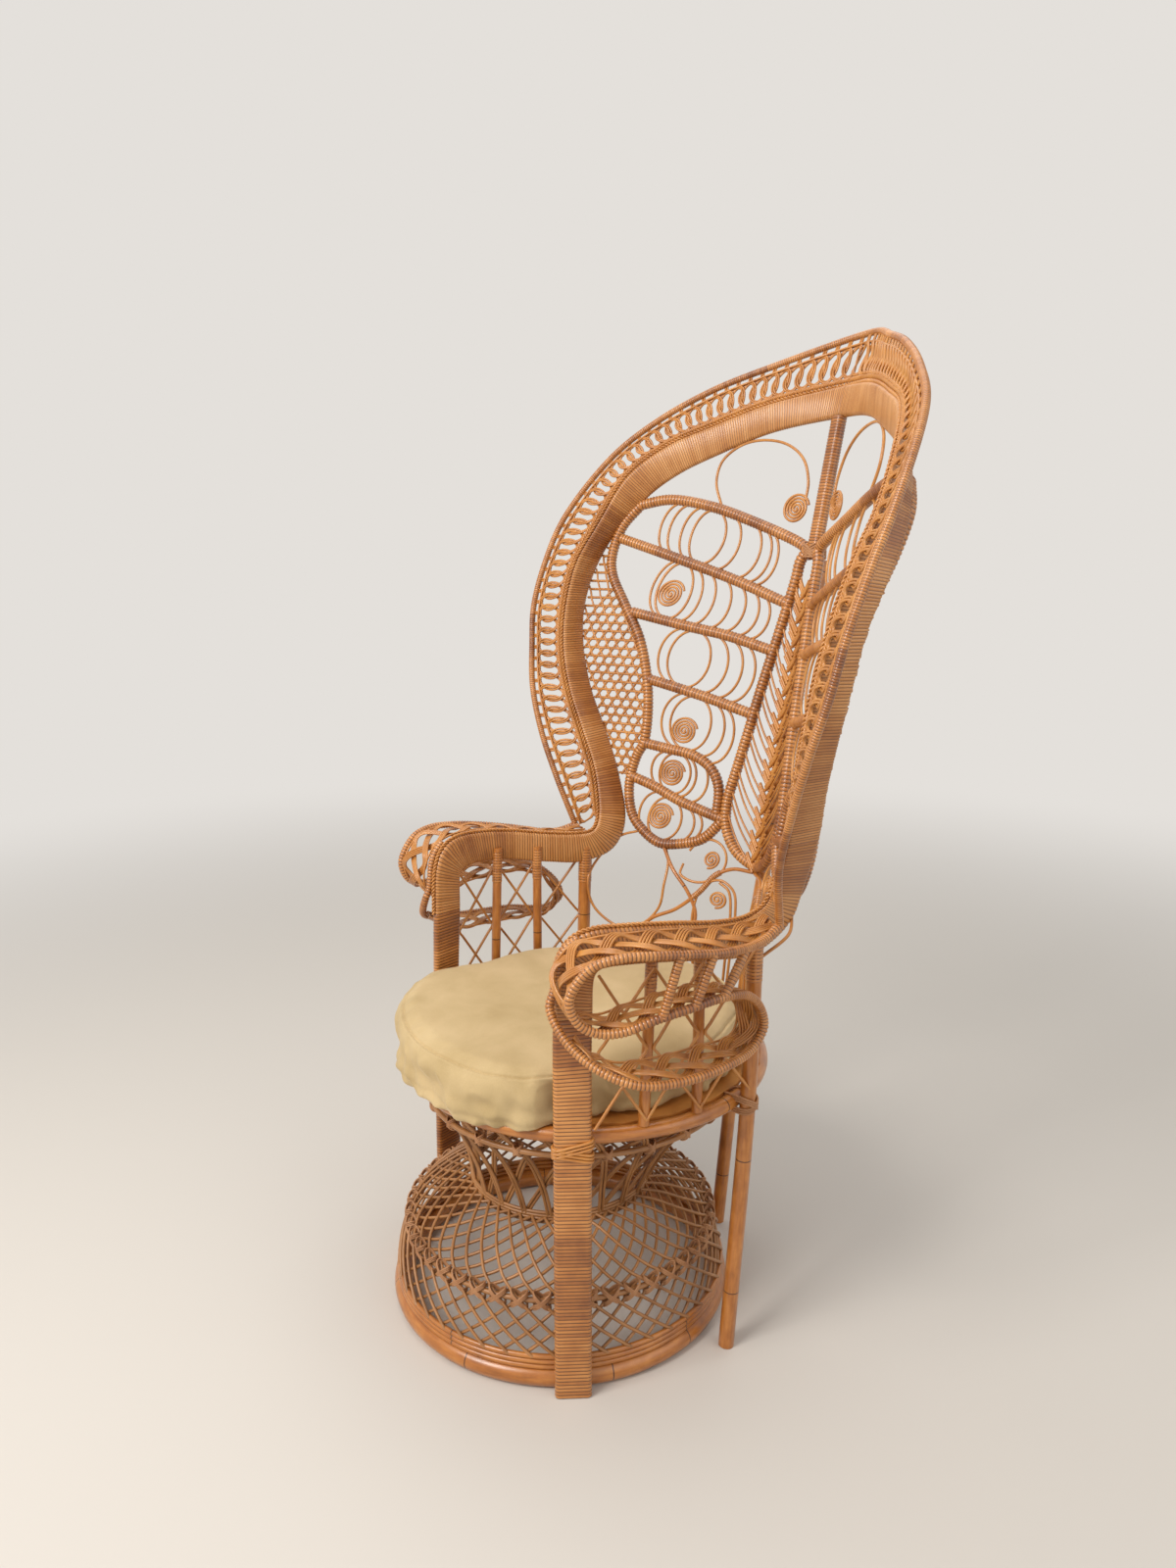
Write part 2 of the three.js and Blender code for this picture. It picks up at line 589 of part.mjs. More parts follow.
// How far from the middle of the seat a pole of a given radius stands against its ring
const besideSeat = (radius) => seatRadius + flatOf(seatRingRadius) + clearance + flatOf(radius);
const rearLegAngle = 24.8;
const rearLegTopShare = [0.95, 0.68, 0.86];
const rearLegPoints = [
  vec(rearFootX, rearFootY, 0),
  polar(seatOffset, besideSeat(rearLegRadius), rearLegAngle, seatRingMiddle),
  onArm(rearLegTopShare),
];
const postPoints = postFeetAngles.map((angle, i) => [
  polar(seatOffset, seatRadius, angle, seatHeight + clearance), onArm(postTopShares[i]),
]);
const rearLegPiece = (side, grow = 0) =>
  pole(onSide(rearLegPoints, side), rearLegRadius + grow, rearLegSteps, ringCorners);
const postPiece = (i, side, grow = 0) => pole(onSide(postPoints[i], side), postRadius + grow);

// The wall's foot follows the seat ring, and its head the arm
const onSeatRing = besideArm(seatRadius);
const wallFootShares = [
  [0.932, -0.74, 0.03], [1.003, -0.45, 0.03], [1.037, -0.2, 0.03], [1.041, 0.19, 0.03], [1.03, 0.55, 0.03],
];
const wallHeadShares = [
  [0.915, -0.7, 0.76], [1.0, -0.38, 0.8], [1.025, -0.2, 0.8], [1.022, 0.19, 0.76], [1.0, 0.55, 0.74],
];
function wallLattice(side) {
  const foot = spline(onSide(wallFootShares.map(onSeatRing), side));
  const head = spline(onSide(wallHeadShares.map(onArm), side));
  return lattice(stretched(foot, head, 0, 0), wallColumns);
}

function wallPieces(side, grow) {
  return [rearLegPiece(side, grow), ...postPoints.map((_, i) => postPiece(i, side, grow))];
}

function addArmWalls() {
  sides.forEach(([word, side]) => {
    const above = bandPiece("arm_band", side, clearance);
    const beside = [above, floorBlock(), seatRingPiece(clearance)];
    add(`rear_leg_${word}`, "pole", notch(rearLegPiece(side), beside));
    ["front", "rear"].forEach((row, i) => {
      add(`arm_post_${row}_${word}`, "wrap", notch(postPiece(i, side), [above]));
    });
    const leg = bandPiece("front_leg", side, clearance);
    const shelf = parts.get(`arm_weave_${word}`).geometry;
    const cutters = [above, leg, shelf, ...wallPieces(side, clearance)];
    add(`arm_lattice_${word}`, "weave", notch(wallLattice(side), cutters));
  });
}

// Three wrapped struts between the top and the middle run of the arm pole
const strutTopShares = [0.145, 0.105, 0.065];
const strutFootShares = [0.486, 0.53, 0.57];
function addStruts() {
  sides.forEach(([word, side]) => {
    const line = spline(onSide(armPolePoints, side));
    strutTopShares.forEach((top, i) => {
      const points = [line.getPoint(top), line.getPoint(strutFootShares[i])];
      const strut = notch(pole(points, strutRadius), [armPolePiece(side, clearance)]);
      add(`arm_strut_${i + 1}_${word}`, "wrap", strut);
    });
  });
}

// The back panel hangs between the spine line and the rear edges of the band, height by height
const panelBend = 1.2;
const cornerPoints = 4; // the last points of the arm band also guide the panel's edge
const sideStart = rearEdgePoints.length - 1 - backRearShares.length - cornerPoints;
const sideLine = spline(rearEdgePoints.slice(sideStart, -1)); // without the mirrored point
const sidePlaces = sideLine.getPoints(fineSteps);
const spineTopShare = 0.9485; // of the back's depth, for the panel's middle line at the back's full height
const spineAt = (z) => lerp(spineDepth, spineTopShare * backDepth, (z - armHeight) / backRise);
function onPanel([x, z]) {
  const across = x * backHalfWidth;
  const height = armHeight + z * backRise;
  const side = sidePlaces.find((p) => p.z >= height) ?? sidePlaces[sidePlaces.length - 1];
  const share = Math.min(Math.abs(across) / side.x, 1) ** panelBend;
  return vec(across, lerp(spineAt(height), side.y, share), height);
}
const outlineOnPanel = (shares, side) => onSide(shares.map(onPanel), side);

// Front view of the panel's poles on the sitter's left
const topRibShares = [
  [0, 0.583], [0.077, 0.604], [0.255, 0.642], [0.455, 0.679], [0.638, 0.697], [0.76, 0.688],
];
const framePoleShares = [
  [0.76, 0.688], [0.822, 0.64], [0.822, 0.575], [0.792, 0.536], [0.696, 0.469], [0.61, 0.396],
  [0.544, 0.285], [0.536, 0.177], [0.564, 0.141], [0.579, 0.075], [0.544, 0.015], [0.483, -0.017],
  [0.399, -0.037], [0.311, -0.03], [0.236, -0.012], [0.175, 0.03],
];
const ribShares = {
  rib_2: [[0.06, 0.48], [0.293, 0.527], [0.593, 0.579], [0.81, 0.615]],
  rib_3: [[0.091, 0.387], [0.275, 0.413], [0.455, 0.431], [0.66, 0.455]],
  rib_4: [[0.125, 0.257], [0.329, 0.285], [0.553, 0.313]],
};
const upperForkShares = [
  [0.536, 0.173], [0.435, 0.166], [0.33, 0.158], [0.256, 0.136], [0.213, 0.1], [0.2, 0.04],
];
const lowerForkShares = [[0.579, 0.097], [0.476, 0.081], [0.36, 0.058], [0.262, 0.045], [0.165, 0.034]];
const leafShares = [
  [0.05, 0.567], [0.055, 0.531], [0.072, 0.457], [0.092, 0.38], [0.116, 0.286], [0.131, 0.217],
  [0.151, 0.144], [0.167, 0.069], [0.151, 0.019], [0.097, -0.023],
];
const leafBottomShare = [0, -0.046];

const topRibPoints = [
  ...outlineOnPanel(topRibShares, -1).reverse(), ...outlineOnPanel(topRibShares, 1).slice(1),
];
const leafPoints = [
  ...outlineOnPanel(leafShares, -1), onPanel(leafBottomShare), ...outlineOnPanel(leafShares, 1).reverse(),
];
const panelPole = (shares, side, steps, grow = 0) =>
  pole(outlineOnPanel(shares, side), ribRadius + grow, steps);
const topRibPiece = (grow = 0) => pole(topRibPoints, ribRadius + grow, topRibSteps);
const leafPiece = (grow = 0) => pole(leafPoints, leafRadius + grow, leafSteps);
const framePiece = (side, grow = 0) => panelPole(framePoleShares, side, frameSteps, grow);
const backBands = () => sides.map(([, side]) => bandPiece("back_band", side, clearance));

function addPanel() {
  add("top_rib", "wrap", notch(topRibPiece(), backBands()));
  add("leaf_pole", "wrap", notch(leafPiece(), [topRibPiece(clearance)]));
  sides.forEach(([word, side]) => {
    const beside = bandPiece("back_band", side, clearance);
    const corner = bandPiece("arm_band", side, clearance);
    const frame = notch(framePiece(side), [topRibPiece(clearance), leafPiece(clearance), beside, corner]);
    add(`frame_pole_${word}`, "wrap", frame);
    const ends = [framePiece(side, clearance), leafPiece(clearance), topRibPiece(clearance), beside];
    Object.entries(ribShares).forEach(([name, shares]) => {
      add(`${name}_${word}`, "wrap", notch(panelPole(shares, side, ribSteps), ends));
    });
    const fork = join([
      panelPole(upperForkShares, side, upperForkSteps),
      panelPole(lowerForkShares, side, ribSteps),
    ]);
    add(`forked_rib_${word}`, "wrap", notch(fork, ends));
  });
}

// Centre post above the knot, spine pole behind the leaf, and the woven braid inside it
const postFoot = topRibPoints[topRibShares.length - 1];
const postHead = rearEdgePoints.at(-2);
const postEdge = (side) =>
  spline([postFoot, postHead].map(({ z }) => vec((side * centrePostWidth) / 2, spineAt(z), z)));
const centrePostPiece = (grow = 0) => band(postEdge(-1), postEdge(1), 0, 1, 1, centrePostDepth, grow);

const leafBottom = onPanel(leafBottomShare);
const leafTop = leafPoints[0].z;
const spineBehind = leafRadius + spineRadius + 2 * clearance;
const spinePoints = [
  vec(0, spineFoot, 0),
  vec(0, seatOffset + besideSeat(spineRadius), seatRingMiddle),
  vec(0, leafBottom.y + spineBehind, leafBottom.z),
  vec(0, spineAt(leafTop) + spineBehind, leafTop),
];
const spinePiece = (grow = 0) => pole(spinePoints, spineRadius + grow, spineSteps, ringCorners);

function addSpine() {
  add("centre_post", "wrap", notch(centrePostPiece(), [...backBands(), topRibPiece(clearance)]));
  const around = [leafPiece(clearance), topRibPiece(clearance), floorBlock(), seatRingPiece(clearance)];
  add("spine_pole", "pole", notch(spinePiece(), around));
}

const braidTopShare = 0.52;
const braidBottomShare = 0.03;
function addBraid() {
  const leafLine = spline(outlineOnPanel(leafShares, 1));
  const places = leafLine.getPoints(fineSteps);
  const gap = leafRadius + stripSides;
  const surface = (u, v) => {
    const z = armHeight + lerp(braidTopShare, braidBottomShare, u) * backRise;
    const edge = places.find((p) => p.z <= z);
    const across = lerp(-1, 1, v);
    return vec((edge.x - gap) * across, lerp(spineAt(z), edge.y, Math.abs(across)), z);
  };
  const cutters = [leafPiece(clearance), spinePiece(clearance)];
  add("spine_braid", "weave", notch(lattice(surface, braidColumns), cutters));
}

// Caned panels, eye-shaped, between the frame pole and the rear edge of the band
const eyeTopShare = 0.545;
const eyeBottomShare = 0.15;
function addCanePanels() {
  sides.forEach(([word, side]) => {
    const frame = spline(outlineOnPanel(framePoleShares, side)).getPoints(fineSteps);
    const bandEdge = onSide(sidePlaces, side);
    const surface = (u, v) => {
      const z = armHeight + lerp(eyeBottomShare, eyeTopShare, u) * backRise;
      const inner = frame.find((p) => p.z <= z);
      const outer = bandEdge.find((p) => p.z >= z);
      const width = inner.distanceTo(outer);
      return between(inner, outer, lerp((ribRadius + stripSides) / width, 1 - stripSides / width, v));
    };
    const near = [framePiece(side, clearance), bandPiece("back_band", side, clearance)];
    add(`cane_panel_${word}`, "weave", notch(lattice(surface, eyeColumns), near));
  });
}

// Cane scrolls: one in the crown of the back, and a group below the leaf
const crownShares = [
  [0.417, 0.68], [0.457, 0.73], [0.448, 0.772], [0.386, 0.802], [0.299, 0.81], [0.193, 0.797],
  [0.116, 0.765], [0.08, 0.72], [0.08, 0.685],
];
const crownDiscShare = [0.105, 0.669];
const stemShares = [[0.37, -0.03], [0.29, -0.08], [0.219, -0.125], [0.19, -0.19]];
const bowShares = [[0.351, -0.205], [0.249, -0.161], [0.18, -0.118], [0.14, -0.085], [0.075, -0.07]];
const largeScrollShares = [
  [0.35, -0.045], [0.335, -0.11], [0.384, -0.193], [0.46, -0.215], [0.53, -0.187], [0.545, -0.12],
  [0.5, -0.06],
];
// Middle of each round scroll, and how far it reaches across and up
const roundScrollShares = [[0.2, -0.055, 0.079, 0.044], [0.115, -0.13, 0.078, 0.045]];
const roundScrollPoints = 15; // spread over a whole turn, which stays open between the last and the first
const cane = (shares, side, steps) => pole(outlineOnPanel(shares, side), scrollRadius, steps, scrollCorners);

function roundScroll([x, z, across, up], side) {
  const shares = Array.from({ length: roundScrollPoints }, (_, i) => {
    const turn = (i / roundScrollPoints) * 2 * Math.PI;
    return [x + across * Math.cos(turn), z + up * Math.sin(turn)];
  });
  return cane(shares, side, roundScrollSteps);
}

function addScrolls() {
  sides.forEach(([word, side]) => {
    const [place] = outlineOnPanel([crownDiscShare], side);
    const [radius, depth] = [scrollDiscRadius, 2 * scrollRadius];
    const disc = new THREE.CylinderGeometry(radius, radius, depth, discCorners);
    disc.translate(place.x, place.y, place.z);
    const arc = cane(crownShares, side, crownArcSteps);
    const around = [bandPiece("back_band", side, clearance), topRibPiece(clearance)];
    add(`crown_scroll_${word}`, "wrap", notch(join([arc, disc]), [...around, centrePostPiece(clearance)]));
    const low = join([
      cane(stemShares, side, stemSteps),
      cane(bowShares, side, bowSteps),
      cane(largeScrollShares, side, largeScrollSteps),
      ...roundScrollShares.map((shares) => roundScroll(shares, side)),
    ]);
    const poles = [framePiece(side, clearance), rearLegPiece(side, clearance)];
    add(`low_scrolls_${word}`, "wrap", notch(low, [...poles, leafPiece(clearance), spinePiece(clearance)]));
  });
}

addBase();
addDeck();
addCushion();
addBands();
addRim();
addArmPoles();
addArmWalls();
addStruts();
addPanel();
addSpine();
addBraid();
addCanePanels();
addScrolls();

const chair = new THREE.Group();
parts.forEach(({ finish, geometry }, name) => {
  const mesh = new THREE.Mesh(geometry, new THREE.MeshStandardMaterial(finishes[finish]));
  mesh.name = name;
  chair.add(mesh);
});
const box = new THREE.Box3().setFromObject(chair);
const middle = box.getCenter(vec());
chair.position.set(-middle.x, -middle.y, -box.min.z);

export default chair;
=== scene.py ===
"""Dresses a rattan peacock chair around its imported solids."""

import json
import logging
import math
from dataclasses import dataclass, field
from enum import Enum
from typing import Iterable, Sequence

import bmesh
import bpy
import numpy as np
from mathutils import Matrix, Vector, noise

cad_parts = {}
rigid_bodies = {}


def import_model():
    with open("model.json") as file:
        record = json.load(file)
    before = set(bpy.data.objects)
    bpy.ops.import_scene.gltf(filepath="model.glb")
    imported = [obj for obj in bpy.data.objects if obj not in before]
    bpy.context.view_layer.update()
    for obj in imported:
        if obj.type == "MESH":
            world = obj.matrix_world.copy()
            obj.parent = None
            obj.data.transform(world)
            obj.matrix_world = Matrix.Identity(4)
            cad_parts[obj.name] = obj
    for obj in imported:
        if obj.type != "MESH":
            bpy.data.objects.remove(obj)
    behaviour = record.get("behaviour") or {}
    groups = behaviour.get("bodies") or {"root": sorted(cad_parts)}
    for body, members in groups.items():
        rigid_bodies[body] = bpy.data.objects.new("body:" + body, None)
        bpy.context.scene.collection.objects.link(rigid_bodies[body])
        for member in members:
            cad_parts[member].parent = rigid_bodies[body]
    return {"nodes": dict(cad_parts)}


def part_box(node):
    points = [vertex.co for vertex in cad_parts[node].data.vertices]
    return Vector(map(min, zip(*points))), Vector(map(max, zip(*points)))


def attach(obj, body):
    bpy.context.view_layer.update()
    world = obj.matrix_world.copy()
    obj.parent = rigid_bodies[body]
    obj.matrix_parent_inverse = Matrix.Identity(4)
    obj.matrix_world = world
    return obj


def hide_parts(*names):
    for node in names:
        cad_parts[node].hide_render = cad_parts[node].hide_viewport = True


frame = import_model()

LOG = logging.getLogger("peacock_chair")
MM = 0.001

# How finely the swept canes and poles are meshed: the distance between rings, and the sides of the section
POLE_STEP, POLE_SIDES = 12 * MM, 14
BASE_STEP = 8 * MM
CANE_STEP = 6 * MM
ARC_STEP = 5 * MM
FINE_STEP = 3 * MM
LOOP_STEP = 3.2 * MM
SLIM_SIDES = 5
UP = np.array([0.0, 0.0, 1.0])


class Side(Enum):
    """The sitter's left is +X."""

    LEFT = 1
    RIGHT = -1

    @property
    def word(self) -> str:
        """The side's name as it stands in the node names."""
        return self.name.lower()


class Slot(Enum):
    """The record's material slots."""

    WRAP = "wrap"
    POLE = "pole"
    WEAVE = "weave"
    BASE = "base"
    VELVET = "velvet"


@dataclass(frozen=True)
class Sizes:
    """The chair's driving sizes in metres, measured from the middle of its base on the floor."""

    back_height: float = 1.500
    back_half_width: float = 0.458
    back_depth: float = 0.550
    arm_height: float = 0.680
    arm_half_span: float = 0.280
    arm_pole_half_span: float = 0.373
    arm_depth: float = 0.192
    seat_height: float = 0.396
    seat_radius: float = 0.275
    seat_offset: float = 0.047
    base_radius: float = 0.256
    waist_radius: float = 0.139
    waist_height: float = 0.188
    braid_radius: float = 0.241
    braid_height: float = 0.122
    spine_foot: float = 0.306
    spine_depth: float = 0.370
    spine_lean: float = 0.185
    leaf_top: float = 1.145
    rear_foot_x: float = 0.269
    rear_foot_y: float = 0.146
    base_ring_pole: float = 0.015
    seat_ring_pole: float = 0.011
    rear_pole: float = 0.0115
    rim_pole: float = 0.006
    post_pole: float = 0.009
    rib_pole: float = 0.0075
    strut_pole: float = 0.0065
    hoop_pole: float = 0.004
    cone_hoop_pole: float = 0.0045
    scroll_cane: float = 0.0024
    band_width: float = 0.052
    band_thickness: float = 0.014
    post_width: float = 0.026
    post_depth: float = 0.020
    clearance: float = 0.00035

    @property
    def back_rise(self) -> float:
        """How far the back rises above the arms."""
        return self.back_height - self.arm_height

    @property
    def seat_ring_height(self) -> float:
        """Height of the middle of the seat ring's pole."""
        return self.seat_height - flat_of(self.seat_ring_pole)

    @property
    def rear_pole_reach(self) -> float:
        """How far from the seat ring's middle the rear poles pass it."""
        return self.seat_radius + flat_of(self.seat_ring_pole) + self.clearance + flat_of(self.rear_pole)


RING_CORNERS = 8


def flat_of(radius: float) -> float:
    """Distance of the flats of the rings' section from its middle."""
    return radius * math.cos(math.pi / RING_CORNERS)


S = Sizes()
ORIGIN_Y = sum(corner.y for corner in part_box("base_ring")) / 2

# Places as shares of the sizes that they follow, as in the solids
ARM_FRONT_SHARES = [
    (0.857, -0.875, 0.576), (0.868, -0.844, 0.859), (0.896, -0.76, 0.965), (0.932, -0.635, 1.007),
    (0.979, -0.401, 1.014), (0.996, -0.089, 0.996), (0.975, 0.302, 0.954), (0.939, 0.589, 0.94),
    (0.914, 0.714, 0.954), (0.925, 0.771, 0.986), (0.943, 0.807, 1.053),
]
ARM_REAR_SHARES = [
    (0.914, -0.615, 0.576), (0.921, -0.6, 0.781), (0.929, -0.568, 0.809), (0.943, -0.516, 0.82),
    (0.979, -0.349, 0.827), (0.996, -0.089, 0.813), (0.975, 0.302, 0.77), (0.95, 0.63, 0.749),
    (0.914, 0.911, 0.809), (0.918, 1.036, 0.901), (0.932, 1.089, 1.021),
]
BACK_FRONT_SHARES = [
    (0.629, 0.373, 0.11), (0.692, 0.351, 0.201), (0.755, 0.331, 0.287), (0.801, 0.327, 0.378),
    (0.828, 0.345, 0.463), (0.843, 0.391, 0.561), (0.828, 0.469, 0.649), (0.769, 0.555, 0.751),
    (0.653, 0.647, 0.81), (0.485, 0.736, 0.846), (0.284, 0.827, 0.88), (0, 0.931, 0.9),
]
BACK_REAR_SHARES = [
    (0.646, 0.464, 0.116), (0.71, 0.44, 0.207), (0.777, 0.42, 0.287), (0.834, 0.416, 0.378),
    (0.862, 0.431, 0.463), (0.876, 0.48, 0.549), (0.845, 0.545, 0.628), (0.731, 0.622, 0.707),
    (0.618, 0.68, 0.751), (0.463, 0.749, 0.787), (0.273, 0.829, 0.822), (0, 0.909, 0.839),
]
RIM_POLE_SHARES = [
    (0.686, 0.331, -0.022), (0.745, 0.285, 0.084), (0.834, 0.26, 0.189), (0.906, 0.256, 0.287),
    (0.954, 0.273, 0.378), (0.983, 0.291, 0.463), (0.996, 0.338, 0.559), (0.987, 0.409, 0.661),
    (0.884, 0.545, 0.793), (0.731, 0.64, 0.863), (0.524, 0.751, 0.921), (0.295, 0.869, 0.961), (0, 1, 1),
]
ARM_POLE_SHARES = [
    (0.845, 0.7, 0.95), (0.887, 0.49, 0.908), (0.979, 0.099, 0.94), (1, -0.203, 0.972), (0.995, -0.464, 0.993),
    (0.971, -0.688, 0.997), (0.938, -0.87, 0.958), (0.914, -1, 0.823), (0.92, -0.953, 0.717),
    (0.938, -0.844, 0.664), (0.965, -0.688, 0.657), (0.995, -0.458, 0.703), (1, -0.224, 0.724),
    (0.981, 0.042, 0.731), (0.925, 0.328, 0.682), (0.879, 0.516, 0.565), (0.874, 0.552, 0.47),
    (0.903, 0.422, 0.396), (0.979, 0.099, 0.392), (1, -0.245, 0.385), (0.979, -0.557, 0.399),
    (0.898, -0.766, 0.452), (0.777, -0.896, 0.541), (0.68, -0.93, 0.66),
]
ARM_STRIP_SHARES = [
    (0.98, 0.7, 0.95), (1.01, 0.49, 0.95), (1.045, 0.099, 0.975), (1.06, -0.203, 1.005), (1.045, -0.464, 1.012),
    (1.0, -0.66, 1.0), (0.945, -0.82, 0.955), (0.915, -0.92, 0.83), (0.93, -0.9, 0.715), (0.97, -0.8, 0.655),
    (1.02, -0.67, 0.64), (1.06, -0.458, 0.682), (1.065, -0.224, 0.703), (1.065, 0.042, 0.71),
    (1.06, 0.3, 0.66), (1.06, 0.4, 0.56), (1.06, 0.41, 0.47), (1.06, 0.35, 0.41), (1.065, 0.099, 0.4),
    (1.065, -0.245, 0.392), (1.04, -0.55, 0.4), (1.0, -0.7, 0.45), (0.96, -0.79, 0.52),
]
POST_TOP_SHARES = [(0.975, -0.2, 0.9), (0.972, 0.19, 0.88)]
POST_FEET_ANGLES = [-10.0, 7.5]
REAR_LEG_TOP_SHARE = (0.95, 0.68, 0.86)
REAR_LEG_ANGLE = 24.8

# Front view of the back panel on the sitter's left: shares across and up
TOP_RIB_SHARES = [(0, 0.583), (0.077, 0.604), (0.255, 0.642), (0.455, 0.679), (0.638, 0.697), (0.76, 0.688)]
FRAME_POLE_SHARES = [
    (0.76, 0.688), (0.822, 0.64), (0.822, 0.575), (0.792, 0.536), (0.696, 0.469), (0.61, 0.396),
    (0.544, 0.285), (0.536, 0.177), (0.564, 0.141), (0.579, 0.075), (0.544, 0.015), (0.483, -0.017),
    (0.399, -0.037), (0.311, -0.03), (0.236, -0.012), (0.175, 0.03),
]
RIB_SHARES = {
    "rib_2": [(0.06, 0.48), (0.293, 0.527), (0.593, 0.579), (0.81, 0.615)],
    "rib_3": [(0.091, 0.387), (0.275, 0.413), (0.455, 0.431), (0.66, 0.455)],
    "rib_4": [(0.125, 0.257), (0.329, 0.285), (0.553, 0.313)],
}
UPPER_FORK_SHARES = [(0.536, 0.173), (0.435, 0.166), (0.33, 0.158), (0.256, 0.136), (0.213, 0.1), (0.2, 0.04)]
LOWER_FORK_SHARES = [(0.579, 0.097), (0.476, 0.081), (0.36, 0.058), (0.262, 0.045), (0.165, 0.034)]
LEAF_SHARES = [
    (0.05, 0.567), (0.055, 0.531), (0.072, 0.457), (0.092, 0.38), (0.116, 0.286), (0.131, 0.217),
    (0.151, 0.144), (0.167, 0.069), (0.151, 0.019), (0.097, -0.023),
]
LEAF_BOTTOM_SHARE = (0, -0.046)
LEAF_TOP_SHARE = (0.03, 0.586)
KNOT_SHARE = (0.0, 0.589)
CROWN_ARC_SHARES = [
    (0.417, 0.68), (0.457, 0.73), (0.448, 0.772), (0.386, 0.802), (0.299, 0.81), (0.193, 0.797),
    (0.116, 0.765), (0.08, 0.72), (0.078, 0.685),
]
CROWN_DISC_SHARE = (0.111, 0.669)
# A row of arcs between two ribs: where the outward arcs end, a whole ring, where the inward arcs end, half width
ARC_ROWS = [
    ((0.655, 0.615, 0.561), 0.446, (0.31, 0.22, 0.175, 0.145), 0.071),
    ((0.611, 0.587), 0.52, (0.41, 0.355, 0.29, 0.23, 0.175, 0.13), 0.068),
    ((0.527,), 0.407, (0.255, 0.197, 0.146), 0.082),
    ((0.475,), 0.36, (0.225, 0.185), 0.08),
    ((0.497,), 0.398, (0.31, 0.26), 0.064),
    ((0.516,), 0.406, (0.283, 0.25), 0.068),
]
DISC_SHARES = [(0.531, 0.496), (0.381, 0.208), (0.409, 0.114), (0.426, 0.018)]
STEM_SHARES = [
    [(0.381, -0.04), (0.29, -0.08), (0.219, -0.122), (0.185, -0.16), (0.18, -0.2)],
    [(0.351, -0.205), (0.249, -0.161), (0.18, -0.118), (0.14, -0.079), (0.088, -0.061), (0.007, -0.058)],
]
BOW_SHARES = [
    [(0.375, -0.04), (0.33, -0.07), (0.303, -0.115), (0.312, -0.165), (0.36, -0.205), (0.43, -0.225),
     (0.535, -0.187), (0.556, -0.12), (0.595, -0.059), (0.56, -0.035), (0.5, -0.02)],
    [(0.19, -0.205), (0.193, -0.15), (0.172, -0.105), (0.118, -0.087), (0.064, -0.105), (0.044, -0.15), (0.04, -0.2)],
    [(0.118, -0.092), (0.082, -0.106), (0.062, -0.15), (0.058, -0.2)],
]
SCROLL_FEET_SHARES = {"outer": 0.185, "inner": 0.42, "arch_start": 0.2, "arch_end": 0.045, "branch": 0.065}
LOW_RING_SHARE = (0.2, -0.055)
LOW_DISC_SHARES = [(0.181, -0.051), (0.116, -0.128)]


def linear(code: str) -> tuple[float, float, float, float]:
    """Turns an sRGB hex colour to linear light.

    Args:
        code: Six hex digits after a hash.

    Returns:
        Red, green, blue and an alpha of 1.
    """
    values = [int(code[i:i + 2], 16) / 255 for i in (1, 3, 5)]
    red, green, blue = (v / 12.92 if v <= 0.04045 else ((v + 0.055) / 1.055) ** 2.4 for v in values)
    return red, green, blue, 1.0


def add_node(tree: bpy.types.NodeTree, kind: str, inputs: dict | None = None, **settings) -> bpy.types.Node:
    """Adds a node with its settings, values and links.

    Args:
        tree: The tree that gets the node.
        kind: Blender's name of the node type.
        inputs: Values or output sockets by the input's name or number.
        **settings: Attributes of the node itself.

    Returns:
        The new node.
    """
    node = tree.nodes.new(kind)
    for key, value in settings.items():
        setattr(node, key, value)
    for key, value in (inputs or {}).items():
        if isinstance(value, bpy.types.NodeSocket):
            tree.links.new(value, node.inputs[key])
        else:
            node.inputs[key].default_value = value
    return node


def empty_tree(owner: bpy.types.Material | bpy.types.World) -> bpy.types.NodeTree:
    """The node tree of a new material or world, with nothing in it yet."""
    owner.use_nodes = True
    owner.node_tree.nodes.clear()
    return owner.node_tree


class Line:
    """A smooth line through chosen points, in the chair's own frame."""

    def __init__(self, points: Iterable) -> None:
        """Keeps the points that the line runs through."""
        self.points = np.array([tuple(p) for p in points], float)

    def at(self, shares: np.ndarray | float) -> np.ndarray:
        """Finds points of the line.

        Args:
            shares: Places from 0 at the line's start to 1 at its end.

        Returns:
            One row of x, y and z for each place.
        """
        p = self.points
        padded = np.vstack([2 * p[0] - p[1], p, 2 * p[-1] - p[-2]])
        spans = len(p) - 1
        place = np.clip(np.atleast_1d(shares), 0, 1) * spans
        i = np.minimum(place.astype(int), spans - 1)
        t = (place - i)[:, None]
        a, b, c, d = (padded[i + k] for k in range(4))
        d0, d1, d2 = (np.linalg.norm(v, axis=1, keepdims=True) ** 0.5 for v in (b - a, c - b, d - c))
        m1 = ((b - a) / d0 - (c - a) / (d0 + d1) + (c - b) / d1) * d1
        m2 = ((c - b) / d1 - (d - b) / (d1 + d2) + (d - c) / d2) * d1
        return (2 * b - 2 * c + m1 + m2) * t**3 + (3 * c - 3 * b - 2 * m1 - m2) * t**2 + m1 * t + b

    def dense(self, start: float = 0.0, end: float = 1.0) -> np.ndarray:
        """Many points between two shares of the line."""
        return self.at(np.linspace(start, end, 14 * len(self.points)))


def lengths(points: np.ndarray) -> np.ndarray:
    """The length of a line of points from its start to each of them."""
    steps = np.linalg.norm(np.diff(points, axis=0), axis=1)
    return np.concatenate([[0.0], np.cumsum(steps)])


def unit(vectors: np.ndarray) -> np.ndarray:
    """The vectors of rows, each scaled to length 1."""
    return vectors / np.maximum(np.linalg.norm(vectors, axis=-1, keepdims=True), 1e-12)


